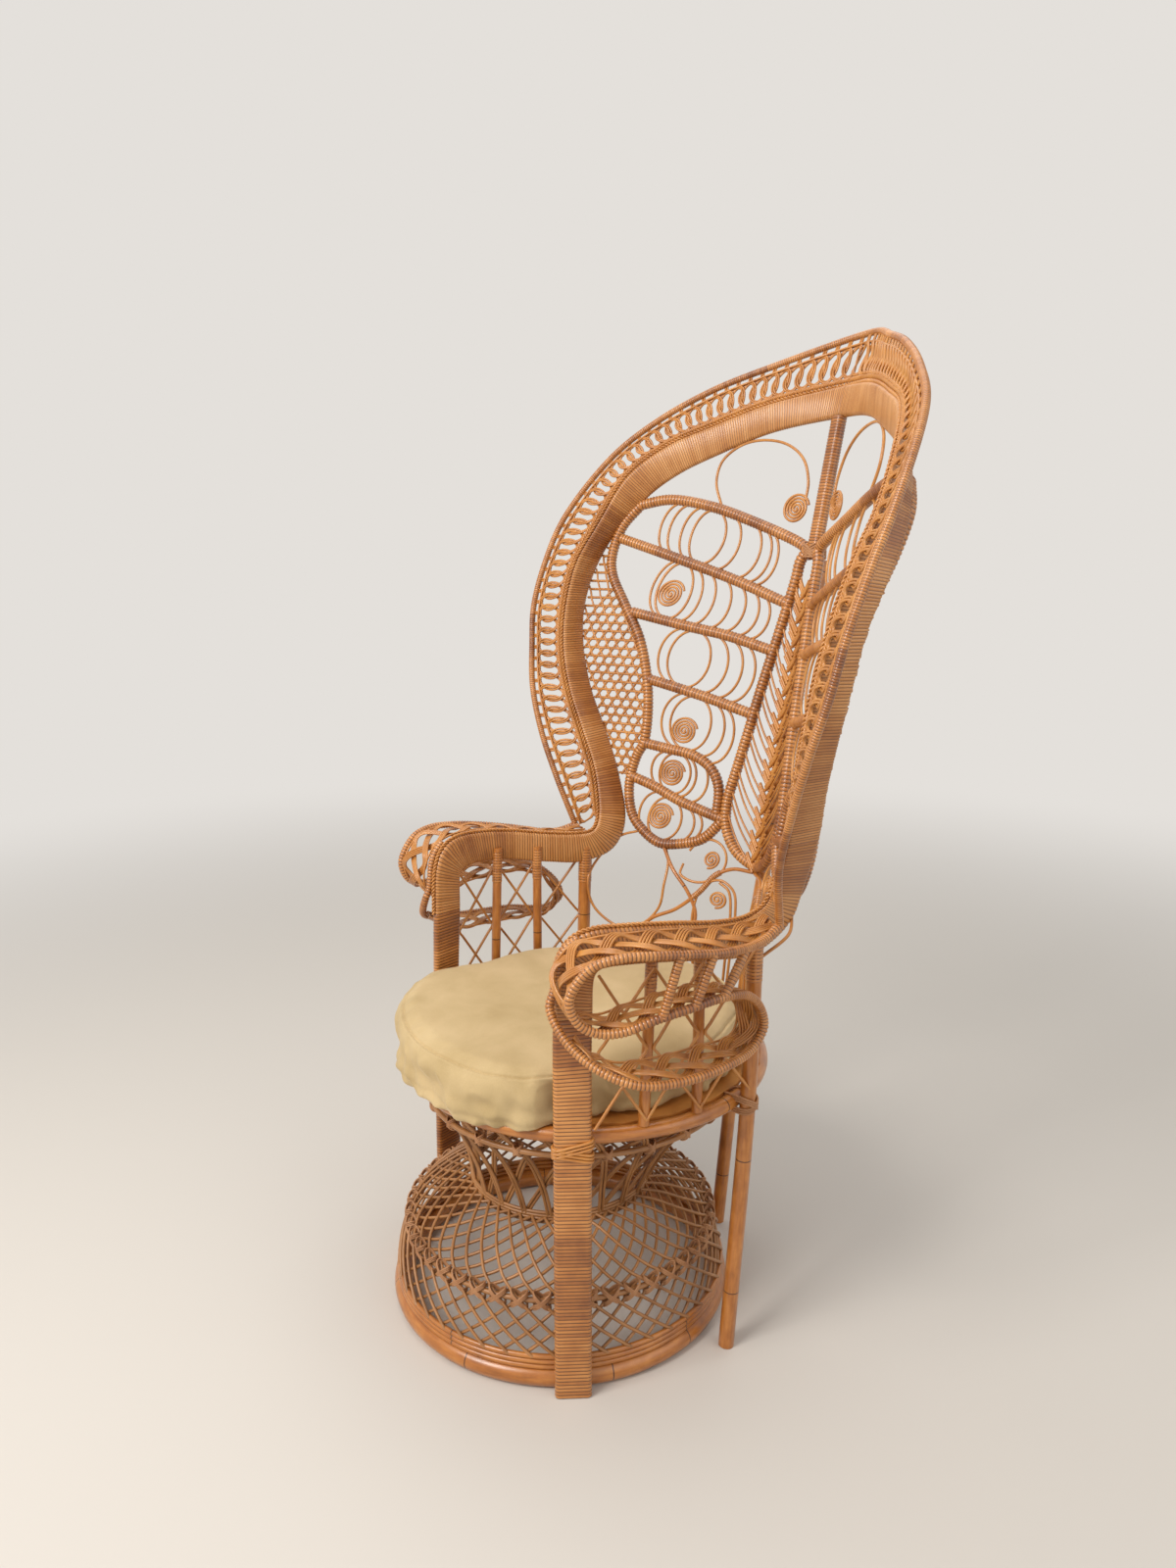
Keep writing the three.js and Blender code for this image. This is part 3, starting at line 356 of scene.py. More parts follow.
def polar(middle_y: float, radius: float, degrees: float, z: float) -> tuple[float, float, float]:
    """A point on a circle about an upright axis in the middle plane."""
    turn = math.radians(degrees)
    return radius * math.cos(turn), middle_y + radius * math.sin(turn), z


def binding(
    centre: np.ndarray, reach: np.ndarray, depth: np.ndarray, along: np.ndarray, slant: float,
    count: int, spacing: float, square: float = 1.0,
) -> list:
    """Closed loops of cane that bind a joint side by side.

    Args:
        centre: The middle of the joint.
        reach: Half of the loop's width, as a vector.
        depth: Half of the loop's depth, as a vector.
        along: The unit vector along which the loops lie beside each other.
        slant: How far the loop's two ends lie off the middle, along that vector.
        count: How many loops there are.
        spacing: How far apart they lie.
        square: 1 for an oval loop, less for one with squarer corners.

    Returns:
        The closed middle lines.
    """
    turn = np.linspace(0, 2 * math.pi, 20, endpoint=False)
    wide, deep = (np.sign(f(turn)) * np.abs(f(turn)) ** square for f in (np.cos, np.sin))
    loop = centre + np.outer(wide, reach) + np.outer(deep, depth) + np.outer(wide * slant, along)
    return [loop + np.asarray(along) * (k - (count - 1) / 2) * spacing for k in range(count)]


def circle(middle_y: float, radius: float, z: float, count: int = 120) -> np.ndarray:
    """Points round a level circle, without its first point again at the end."""
    turn = np.linspace(0, 2 * math.pi, count, endpoint=False)
    return np.column_stack([radius * np.cos(turn), middle_y + radius * np.sin(turn), np.full(count, z)])


def set_on_floor(mesh: bpy.types.Mesh) -> bpy.types.Mesh:
    """The mesh, with its vertices below the floor lifted onto it."""
    for vertex in mesh.vertices:
        vertex.co.z = max(vertex.co.z, 0.0)
    return mesh


def mirrored(points: Iterable, side: Side) -> np.ndarray:
    """The points on one side of the chair."""
    return np.array([tuple(p) for p in points], float) * (side.value, 1, 1)


def on_back(shares: Iterable) -> np.ndarray:
    """Places on the back from shares of its half width, depth and rise."""
    return np.array(list(shares)) * (S.back_half_width, S.back_depth, S.back_rise) + (0, 0, S.arm_height)


def beside_arm(shares: Iterable, span: float) -> np.ndarray:
    """Places beside the arm from shares of a span, of the arm's depth and of its height over the seat."""
    rise = S.arm_height - S.seat_height
    return np.array(list(shares)) * (span, S.arm_depth, rise) + (0, S.seat_offset, S.seat_height)


def on_arm(shares: Iterable) -> np.ndarray:
    """Places that follow the arm's wrapped band."""
    return beside_arm(shares, S.arm_half_span)


def across_middle(points: np.ndarray) -> np.ndarray:
    """A line that ends in the middle plane, with one mirrored point more, so that it crosses level."""
    return np.vstack([points, points[-2] * (-1, 1, 1)])


def leg_points() -> np.ndarray:
    """The middle line of the front leg, at the floor and at the seat ring."""
    reach = S.clearance + S.band_thickness / 2
    return np.array([
        polar(0, S.base_radius + S.base_ring_pole + reach, -21.5, 0),
        polar(S.seat_offset, S.seat_radius + S.seat_ring_pole + reach, -30, S.seat_ring_height),
    ])


LEG_SLANT_SHARE = 0.4
LEG_SLANT = np.array([LEG_SLANT_SHARE, math.sqrt(1 - LEG_SLANT_SHARE**2), 0]) * S.band_width / 2
FRONT_EDGE = across_middle(
    np.vstack([leg_points() - LEG_SLANT, on_arm(ARM_FRONT_SHARES), on_back(BACK_FRONT_SHARES)])
)
REAR_EDGE = across_middle(
    np.vstack([leg_points() + LEG_SLANT, on_arm(ARM_REAR_SHARES), on_back(BACK_REAR_SHARES)])
)
EDGE_SPANS = len(FRONT_EDGE) - 1
LEG_TOP = 2 / EDGE_SPANS
ARM_END = (2 + len(ARM_FRONT_SHARES)) / EDGE_SPANS
BAND_END = (EDGE_SPANS - 1) / EDGE_SPANS
PANEL_BEND = 1.2
SIDE_PLACES = Line(REAR_EDGE[len(REAR_EDGE) - 1 - len(BACK_REAR_SHARES) - 4:-1]).at(np.linspace(0, 1, 321))


def spine_at(z: np.ndarray | float) -> np.ndarray | float:
    """How far back the panel lies in the middle, at a height."""
    return S.spine_depth + S.spine_lean * (z - S.arm_height)


def on_panel(shares: Iterable, side: Side, lift: float = 0.0) -> np.ndarray:
    """Places on the back panel from a front view.

    Args:
        shares: Shares of the half width and of the rise over the arms.
        side: The side of the chair.
        lift: How far before the panel the places lie.

    Returns:
        One row of x, y and z for each place.
    """
    given = np.array([tuple(p) for p in shares], float)
    x = given[:, 0] * S.back_half_width
    z = S.arm_height + given[:, 1] * S.back_rise
    side_x = np.interp(z, SIDE_PLACES[:, 2], SIDE_PLACES[:, 0])
    side_y = np.interp(z, SIDE_PLACES[:, 2], SIDE_PLACES[:, 1])
    share = np.minimum(np.abs(x) / side_x, 1) ** PANEL_BEND
    middle = spine_at(z)
    return np.column_stack([side.value * x, middle + (side_y - middle) * share - lift, z])


class Strip:
    """The surface between two lines that run side by side."""

    def __init__(self, first: Line, second: Line, first_gap: float, second_gap: float, end: float = 1.0) -> None:
        """Keeps the two lines, the gaps that stay free beside them, and where the strip ends."""
        self.first, self.second = first, second
        self.first_gap, self.second_gap, self.end = first_gap, second_gap, end
        self.fine = np.linspace(0, 1, 600)
        self.run = lengths(self.plain(self.fine, np.full_like(self.fine, 0.5)))

    @property
    def length(self) -> float:
        """The length of the strip along its middle."""
        return float(self.run[-1])

    def width(self, run: np.ndarray) -> np.ndarray:
        """The free width of the strip at distances along its middle."""
        u = np.interp(run, self.run, self.fine)
        return np.linalg.norm(self.plain(u, np.ones_like(u)) - self.plain(u, np.zeros_like(u)), axis=1)

    def lane(self, step: float, v: float, lift: float = 0.0) -> np.ndarray:
        """A line along the whole strip at one share across."""
        run = np.arange(0, self.length, step)
        return self.at(run, np.full_like(run, v), lift)

    def plain(self, u: np.ndarray, v: np.ndarray) -> np.ndarray:
        """Points from the lines' own shares and from shares across."""
        a, b = self.first.at(u * self.end), self.second.at(u * self.end)
        width = np.linalg.norm(b - a, axis=1)
        share = self.first_gap / width * (1 - v) + (1 - self.second_gap / width) * v
        return a + (b - a) * share[:, None]

    def at(self, run: np.ndarray, v: np.ndarray, lift: np.ndarray | float = 0.0) -> np.ndarray:
        """Finds points over the strip.

        Args:
            run: Distances along the strip's middle, in metres.
            v: Shares across, from 0 at the first line to 1 at the second.
            lift: Heights over the strip, in metres.

        Returns:
            One row of x, y and z for each point.
        """
        u = np.interp(run, self.run, self.fine)
        v = np.asarray(v, float) + np.zeros_like(u)
        step = 1e-3
        low, high = np.clip(u - step, 0, 1), np.clip(u + step, 0, 1)
        along = self.plain(high, v) - self.plain(low, v)
        across = self.second.at(u * self.end) - self.first.at(u * self.end)
        normal = unit(np.cross(along, across))
        return self.plain(u, v) + normal * (np.asarray(lift, float) + np.zeros_like(u))[:, None]


class CaneTree:
    """A Geometry Nodes tree that makes canes and wrapped poles along lines."""

    RINGS_PER_TURN = 4
    INPUTS = {
        "Radius": "NodeSocketFloat",
        "Pitch": "NodeSocketFloat",
        "Bulge": "NodeSocketFloat",
        "Sides": "NodeSocketInt",
        "Material": "NodeSocketMaterial",
    }

    def __init__(self) -> None:
        """Builds the tree: resample, swell each turn of the wrap, sweep a round section."""
        tree = bpy.data.node_groups.new("cane_along_line", "GeometryNodeTree")
        face = tree.interface
        face.new_socket("Geometry", in_out="INPUT", socket_type="NodeSocketGeometry")
        self.ids = {
            label: face.new_socket(label, in_out="INPUT", socket_type=kind).identifier
            for label, kind in self.INPUTS.items()
        }
        face.new_socket("Geometry", in_out="OUTPUT", socket_type="NodeSocketGeometry")
        given = add_node(tree, "NodeGroupInput").outputs
        step = add_node(tree, "ShaderNodeMath", {0: given["Pitch"], 1: self.RINGS_PER_TURN}, operation="DIVIDE")
        even = add_node(
            tree, "GeometryNodeResampleCurve", {"Curve": given["Geometry"], "Length": step.outputs[0]}, mode="LENGTH"
        )
        spline = add_node(tree, "GeometryNodeSplineParameter").outputs
        turns = add_node(
            tree, "ShaderNodeMath", {0: spline["Index"], 1: self.RINGS_PER_TURN}, operation="DIVIDE"
        ).outputs[0]
        half_turns = add_node(tree, "ShaderNodeMath", {0: turns, 1: math.pi}, operation="MULTIPLY")
        wave = add_node(tree, "ShaderNodeMath", {0: half_turns.outputs[0]}, operation="SINE")
        ridge = add_node(tree, "ShaderNodeMath", {0: wave.outputs[0]}, operation="ABSOLUTE").outputs[0]
        swell = add_node(tree, "ShaderNodeMath", {0: ridge, 1: given["Bulge"]}, operation="MULTIPLY")
        radius = add_node(tree, "ShaderNodeMath", {0: swell.outputs[0], 1: given["Radius"]}, operation="ADD")
        kept = even.outputs[0]
        # The ridge also masks the painted groove shade in the material
        stored = {"along": spline["Length"], "turn": turns, "ridge": ridge, "thick": radius.outputs[0]}
        for name, value in stored.items():
            kept = add_node(
                tree, "GeometryNodeStoreNamedAttribute", {"Geometry": kept, "Name": name, "Value": value},
                data_type="FLOAT", domain="POINT",
            ).outputs[0]
        thick = add_node(tree, "GeometryNodeInputNamedAttribute", {"Name": "thick"}, data_type="FLOAT")
        ring = add_node(
            tree, "GeometryNodeCurvePrimitiveCircle", {"Resolution": given["Sides"], "Radius": 1.0}, mode="RADIUS"
        )
        place = add_node(tree, "GeometryNodeInputPosition")
        marked = add_node(
            tree, "GeometryNodeStoreNamedAttribute",
            {"Geometry": ring.outputs["Curve"], "Name": "round", "Value": place.outputs[0]},
            data_type="FLOAT_VECTOR", domain="POINT",
        )
        swept = add_node(
            tree, "GeometryNodeCurveToMesh",
            {"Curve": kept, "Profile Curve": marked.outputs[0], "Scale": thick.outputs[0], "Fill Caps": True},
        )
        real = add_node(tree, "GeometryNodeRealizeInstances", {"Geometry": swept.outputs[0]})
        smooth = add_node(tree, "GeometryNodeSetShadeSmooth", {"Geometry": real.outputs[0]})
        done = add_node(
            tree, "GeometryNodeSetMaterial", {"Geometry": smooth.outputs[0], "Material": given["Material"]}
        )
        add_node(tree, "NodeGroupOutput", {"Geometry": done.outputs[0]})
        self.tree = tree

    def mesh(self, lines: Sequence[np.ndarray], values: dict, closed: bool = False) -> bpy.types.Mesh:
        """Runs the tree along lines.

        Args:
            lines: The lines' points in the chair's own frame.
            values: The tree's inputs by name.
            closed: Whether each line runs back to its start.

        Returns:
            The plain mesh, in the row frame.
        """
        curve = bpy.data.curves.new("cane_line", "CURVE")
        curve.dimensions = "3D"
        for line in lines:
            spline = curve.splines.new("POLY")
            spline.points.add(len(line) - 1)
            rows = np.column_stack([line + (0, ORIGIN_Y, 0), np.ones(len(line))])
            spline.points.foreach_set("co", rows.astype(np.float32).ravel())
            spline.use_cyclic_u = closed
        source = bpy.data.objects.new("cane_line", curve)
        bpy.context.scene.collection.objects.link(source)
        modifier = source.modifiers.new("cane", "NODES")
        modifier.node_group = self.tree
        for label, value in values.items():
            modifier[self.ids[label]] = value
        graph = bpy.context.evaluated_depsgraph_get()
        mesh = bpy.data.meshes.new_from_object(
            source.evaluated_get(graph), preserve_all_data_layers=True, depsgraph=graph
        )
        bpy.data.objects.remove(source)
        bpy.data.curves.remove(curve)
        return mesh


@dataclass(frozen=True)
class RattanFinish:
    """Varnished rattan: warm honey colour in patches, painted shade in the grooves of the wrap, and a satin gloss."""

    name: str
    light: str
    middle: str
    dark: str
    # The dark colour of the painted shade in the wrap's grooves, and of the pole's own joint rings
    groove: str
    wrapped: bool
    roughness: float = 0.38
    coat: float = 0.35
    coat_roughness: float = 0.28
    shades: tuple = (0.3, 0.55, 0.82)
    # Ridge height above which the painted groove shade is gone
    groove_shade_end: float = 0.6
    patch: float = 45 * MM
    patch_share: float = 0.62
    fibre: float = 1.6 * MM
    fibre_depth: float = 0.4 * MM
    streaks_per_metre: float = 12.0
    streak_share: float = 0.55
    section_turns: float = 23.0
    length_share: float = 0.34
    turn_share: float = 0.2
    joint: float = 0.0
    joint_place: float = 0.43
    joint_ring: float = 0.9 * MM

    def material(self) -> bpy.types.Material:
        """Builds the node material.

        Returns:
            The material, which reads the canes' own attributes and Object coordinates.
        """
        made = bpy.data.materials.new(self.name)
        tree = empty_tree(made)
        place = add_node(tree, "ShaderNodeTexCoord").outputs["Object"]
        along = add_node(tree, "ShaderNodeAttribute", attribute_name="along").outputs["Fac"]
        patches = add_node(
            tree, "ShaderNodeTexNoise", {"Vector": place, "Scale": 1 / self.patch, "Detail": 3.0, "Roughness": 0.6}
        )
        tint = self.strand_tint(tree) if self.wrapped else self.streak_tint(tree, along)
        shade = add_node(
            tree, "ShaderNodeMath", {0: patches.outputs["Fac"], 1: self.patch_share, 2: tint},
            operation="MULTIPLY_ADD",
        )
        ramp = add_node(tree, "ShaderNodeValToRGB", {"Fac": shade.outputs[0]})
        first, last = ramp.color_ramp.elements
        first.position, first.color = self.shades[0], linear(self.dark)
        last.position, last.color = self.shades[2], linear(self.light)
        ramp.color_ramp.elements.new(self.shades[1]).color = linear(self.middle)
        colour = ramp.outputs["Color"]
        # On wrapped canes, painted shade darkens the grooves between the turns
        if self.wrapped:
            colour = self.paint_groove_shade(tree, colour)
        if self.joint:
            colour = self.jointed(tree, along, colour)
        fibres = add_node(tree, "ShaderNodeTexNoise", {"Vector": place, "Scale": 1 / self.fibre, "Detail": 2.0})
        bump = add_node(
            tree, "ShaderNodeBump", {"Strength": 0.35, "Distance": self.fibre_depth, "Height": fibres.outputs["Fac"]}
        )
        shader = add_node(
            tree, "ShaderNodeBsdfPrincipled",
            {
                "Base Color": colour, "Roughness": self.roughness, "IOR": 1.5, "Coat Weight": self.coat,
                "Coat Roughness": self.coat_roughness, "Normal": bump.outputs[0],
            },
        )
        add_node(tree, "ShaderNodeOutputMaterial", {"Surface": shader.outputs[0]})
        return made

    def strand_tint(self, tree: bpy.types.NodeTree) -> bpy.types.NodeSocket:
        """Gives each turn of the wrap its tint, and each length of cane, which wraps a couple of dozen turns.

        Args:
            tree: The material's tree.

        Returns:
            The tint.
        """
        turn = add_node(tree, "ShaderNodeAttribute", attribute_name="turn").outputs["Fac"]
        number = add_node(tree, "ShaderNodeMath", {0: turn}, operation="FLOOR")
        strand = add_node(tree, "ShaderNodeTexWhiteNoise", {"W": number.outputs[0]}, noise_dimensions="1D")
        share = add_node(tree, "ShaderNodeMath", {0: number.outputs[0], 1: self.section_turns}, operation="DIVIDE")
        section = add_node(tree, "ShaderNodeMath", {0: share.outputs[0]}, operation="FLOOR")
        length = add_node(tree, "ShaderNodeTexWhiteNoise", {"W": section.outputs[0]}, noise_dimensions="1D")
        few = add_node(
            tree, "ShaderNodeMath", {0: length.outputs["Value"], 1: self.length_share}, operation="MULTIPLY"
        )
        return add_node(
            tree, "ShaderNodeMath", {0: strand.outputs["Value"], 1: self.turn_share, 2: few.outputs[0]},
            operation="MULTIPLY_ADD",
        ).outputs[0]

    def streak_tint(self, tree: bpy.types.NodeTree, along: bpy.types.NodeSocket) -> bpy.types.NodeSocket:
        """Draws the fibres, which run along the cane: long that way, and fine across it.

        Args:
            tree: The material's tree.
            along: How far along the cane a place lies.

        Returns:
            The tint.
        """
        around = add_node(tree, "ShaderNodeAttribute", attribute_name="round").outputs["Vector"]
        section = add_node(tree, "ShaderNodeSeparateXYZ", {0: around}).outputs
        length = add_node(tree, "ShaderNodeMath", {0: along, 1: self.streaks_per_metre}, operation="MULTIPLY")
        grain = add_node(
            tree, "ShaderNodeCombineXYZ", {"X": section["X"], "Y": section["Y"], "Z": length.outputs[0]}
        )
        streaks = add_node(tree, "ShaderNodeTexNoise", {"Vector": grain.outputs[0], "Scale": 2.6, "Detail": 4.0})
        return add_node(
            tree, "ShaderNodeMath", {0: streaks.outputs["Fac"], 1: self.streak_share}, operation="MULTIPLY"
        ).outputs[0]

    def paint_groove_shade(self, tree: bpy.types.NodeTree, colour: bpy.types.NodeSocket) -> bpy.types.NodeSocket:
        """Paints shade into the grooves between the turns of the wrap: a dark colour that stands in for their shadow.

        Args:
            tree: The material's tree.
            colour: The cane's colour.

        Returns:
            The colour with the painted shade in the grooves.
        """
        ridge = add_node(tree, "ShaderNodeAttribute", attribute_name="ridge").outputs["Fac"]
        crest = add_node(tree, "ShaderNodeMapRange", {"Value": ridge, "From Max": self.groove_shade_end})
        return add_node(
            tree, "ShaderNodeMix", {"Factor": crest.outputs["Result"], 6: linear(self.groove), 7: colour},
            data_type="RGBA",
        ).outputs[2]

    def jointed(
        self, tree: bpy.types.NodeTree, along: bpy.types.NodeSocket, colour: bpy.types.NodeSocket
    ) -> bpy.types.NodeSocket:
        """Draws a thin dark ring at each of the plant's own joints.

        Args:
            tree: The material's tree.
            along: How far along the pole a place lies.
            colour: The pole's colour.

        Returns:
            The colour with the rings.
        """
        cycle = add_node(tree, "ShaderNodeMath", {0: along, 1: self.joint}, operation="DIVIDE")
        part = add_node(tree, "ShaderNodeMath", {0: cycle.outputs[0]}, operation="FRACT")
        ring = add_node(
            tree, "ShaderNodeMath", {0: part.outputs[0], 1: self.joint_place, 2: self.joint_ring / self.joint},
            operation="COMPARE",
        )
        return add_node(
            tree, "ShaderNodeMix", {"Factor": ring.outputs[0], 6: colour, 7: linear(self.groove)},
            data_type="RGBA",
        ).outputs[2]


@dataclass(frozen=True)
class VelvetFinish:
    """Short-pile cotton velvet: matt khaki gold with brushed patches and a pale sheen at the edge."""

    name: str = "cotton_velvet"
    light: str = "#CCB488"
    dark: str = "#B0986A"
    edge: str = "#F3E3C4"
    shades: tuple = (0.36, 0.86)
    brushed: float = 90 * MM
    pile: float = 1.8 * MM
    pile_share: float = 0.22
    pile_depth: float = 0.5 * MM
    roughness: float = 0.85
    sheen: float = 0.3
    sheen_roughness: float = 0.4

    def material(self) -> bpy.types.Material:
        """Builds the node material.

        Returns:
            The material, which reads Object coordinates.
        """
        made = bpy.data.materials.new(self.name)
        tree = empty_tree(made)
        place = add_node(tree, "ShaderNodeTexCoord").outputs["Object"]
        brushed = add_node(
            tree, "ShaderNodeTexNoise",
            {"Vector": place, "Scale": 1 / self.brushed, "Detail": 3.0, "Distortion": 0.3},
        )
        pile = add_node(tree, "ShaderNodeTexNoise", {"Vector": place, "Scale": 1 / self.pile, "Detail": 2.0})
        shade = add_node(
            tree, "ShaderNodeMath", {0: pile.outputs["Fac"], 1: self.pile_share, 2: brushed.outputs["Fac"]},
            operation="MULTIPLY_ADD",
        )
        ramp = add_node(tree, "ShaderNodeValToRGB", {"Fac": shade.outputs[0]})
        first, last = ramp.color_ramp.elements
        first.position, first.color = self.shades[0], linear(self.dark)
        last.position, last.color = self.shades[1], linear(self.light)
        bump = add_node(
            tree, "ShaderNodeBump", {"Strength": 0.4, "Distance": self.pile_depth, "Height": pile.outputs["Fac"]}
        )
        shader = add_node(
            tree, "ShaderNodeBsdfPrincipled",
            {
                "Base Color": ramp.outputs["Color"], "Roughness": self.roughness, "Sheen Weight": self.sheen,
                "Sheen Roughness": self.sheen_roughness, "Sheen Tint": linear(self.edge),
                "Normal": bump.outputs[0],
            },
        )
        add_node(tree, "ShaderNodeOutputMaterial", {"Surface": shader.outputs[0]})
        return made


class Workshop:
    """Keeps the materials and the tree, and finishes each piece."""

    def __init__(self) -> None:
        """Makes the tree and the materials."""
        self.canes = CaneTree()
        # Each finish's fourth colour: painted shade in the grooves of wrap and band, the pole's own joint rings,
        # unused in weave, base and lashing
        finishes = {
            # Cane skin wrapped tightly round a pole: each turn is a small glossy ridge
            "wrap": RattanFinish(
                "varnished_cane_wrap", "#CF8E4C", "#B57334", "#8A4F20", "#3E1E0C", True, roughness=0.33, coat=0.5,
            ),
            # The same wrap on the flat bands, where the cane is paler
            "band": RattanFinish("varnished_cane_band", "#D1975A", "#BE8042", "#9C602D", "#5C3317", True),
            # Bare rattan pole under varnish: long streaks in a reddish honey, and the plant's joints
            "pole": RattanFinish(
                "varnished_rattan_pole", "#CC8840", "#AE6A2A", "#824A1B", "#4A260F", False,
                roughness=0.3, coat=0.5, joint=210 * MM,
            ),
            # Peeled cane, woven and bent: warm and a little rough
            "weave": RattanFinish("woven_cane", "#D6994F", "#BA7A38", "#8C5526", "#4A2612", False),
            # Older cane of the base: browner, with less gloss
            "base": RattanFinish(
                "aged_base_cane", "#BB8551", "#9B6A3C", "#6F4526", "#3A2010", False, roughness=0.46, coat=0.2,
            ),
            # Unvarnished strips that lash the crossings: matt and pinkish
            "lashing": RattanFinish(
                "matt_cane_lashing", "#C6966C", "#A8764E", "#805434", "#4A2C18", False, roughness=0.6, coat=0.05,
            ),
        }
        self.materials = {name: finish.material() for name, finish in finishes.items()}
        self.materials["velvet"] = VelvetFinish().material()

    def cane(
        self, lines: Sequence[np.ndarray], radius: float, finish: str, step: float = CANE_STEP, sides: int = 6,
        closed: bool = False,
    ) -> bpy.types.Mesh:
        """Makes plain round canes along lines.

        Args:
            lines: The canes' middle lines.
            radius: The canes' radius.
            finish: The name of their material.
            step: How far apart the rings of the mesh lie.
            sides: The number of sides of the section.
            closed: Whether each line runs back to its start.

        Returns:
            The mesh.
        """
        values = {
            "Radius": radius, "Pitch": step * CaneTree.RINGS_PER_TURN, "Bulge": 0.0, "Sides": sides,
            "Material": self.materials[finish],
        }
        return self.canes.mesh(lines, values, closed)

    def wrapped(
        self, lines: Sequence[np.ndarray], radius: float, pitch: float = 4.4 * MM, bulge: float = 0.9 * MM,
        sides: int = 9,
    ) -> bpy.types.Mesh:
        """Makes poles that are wrapped with cane along lines.

        Args:
            lines: The poles' middle lines.
            radius: The radius over the wrap.
            pitch: How far apart the turns of the wrap lie.
            bulge: How deep the grooves between the turns are.
            sides: The number of sides of the section.

        Returns:
            The mesh.
        """
        values = {
            "Radius": radius - bulge, "Pitch": pitch, "Bulge": bulge, "Sides": sides,
            "Material": self.materials["wrap"],
        }
        return self.canes.mesh(lines, values)

    def finish(
        self, name: str, meshes: Sequence[bpy.types.Mesh], slot: Slot, nodes: Sequence[str] = ()
    ) -> bpy.types.Object:
        """Joins meshes to one piece, which rides on the chair and stands for its nodes.

        Args:
            name: The piece's name.
            meshes: What the piece is made of.
            slot: The record's slot, which is not used.
            nodes: The solids that it replaces.

        Returns:
            The piece.
        """
        joined = bmesh.new()
        materials = list(dict.fromkeys(mesh.materials[0] for mesh in meshes))
        for mesh in meshes:
            before = len(joined.faces)
            joined.from_mesh(mesh)
            joined.faces.ensure_lookup_table()
            for face in joined.faces[before:]:
                face.material_index = materials.index(mesh.materials[0])
        result = bpy.data.meshes.new(name)
        joined.to_mesh(result)
        joined.free()
        for material in materials:
            result.materials.append(material)
        for mesh in meshes:
            bpy.data.meshes.remove(mesh)
        piece = bpy.data.objects.new(name, result)
        bpy.context.scene.collection.objects.link(piece)
        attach(piece, "root")
        if nodes:
            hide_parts(*nodes)
        LOG.info("%s: %d faces", name, len(result.polygons))
        return piece


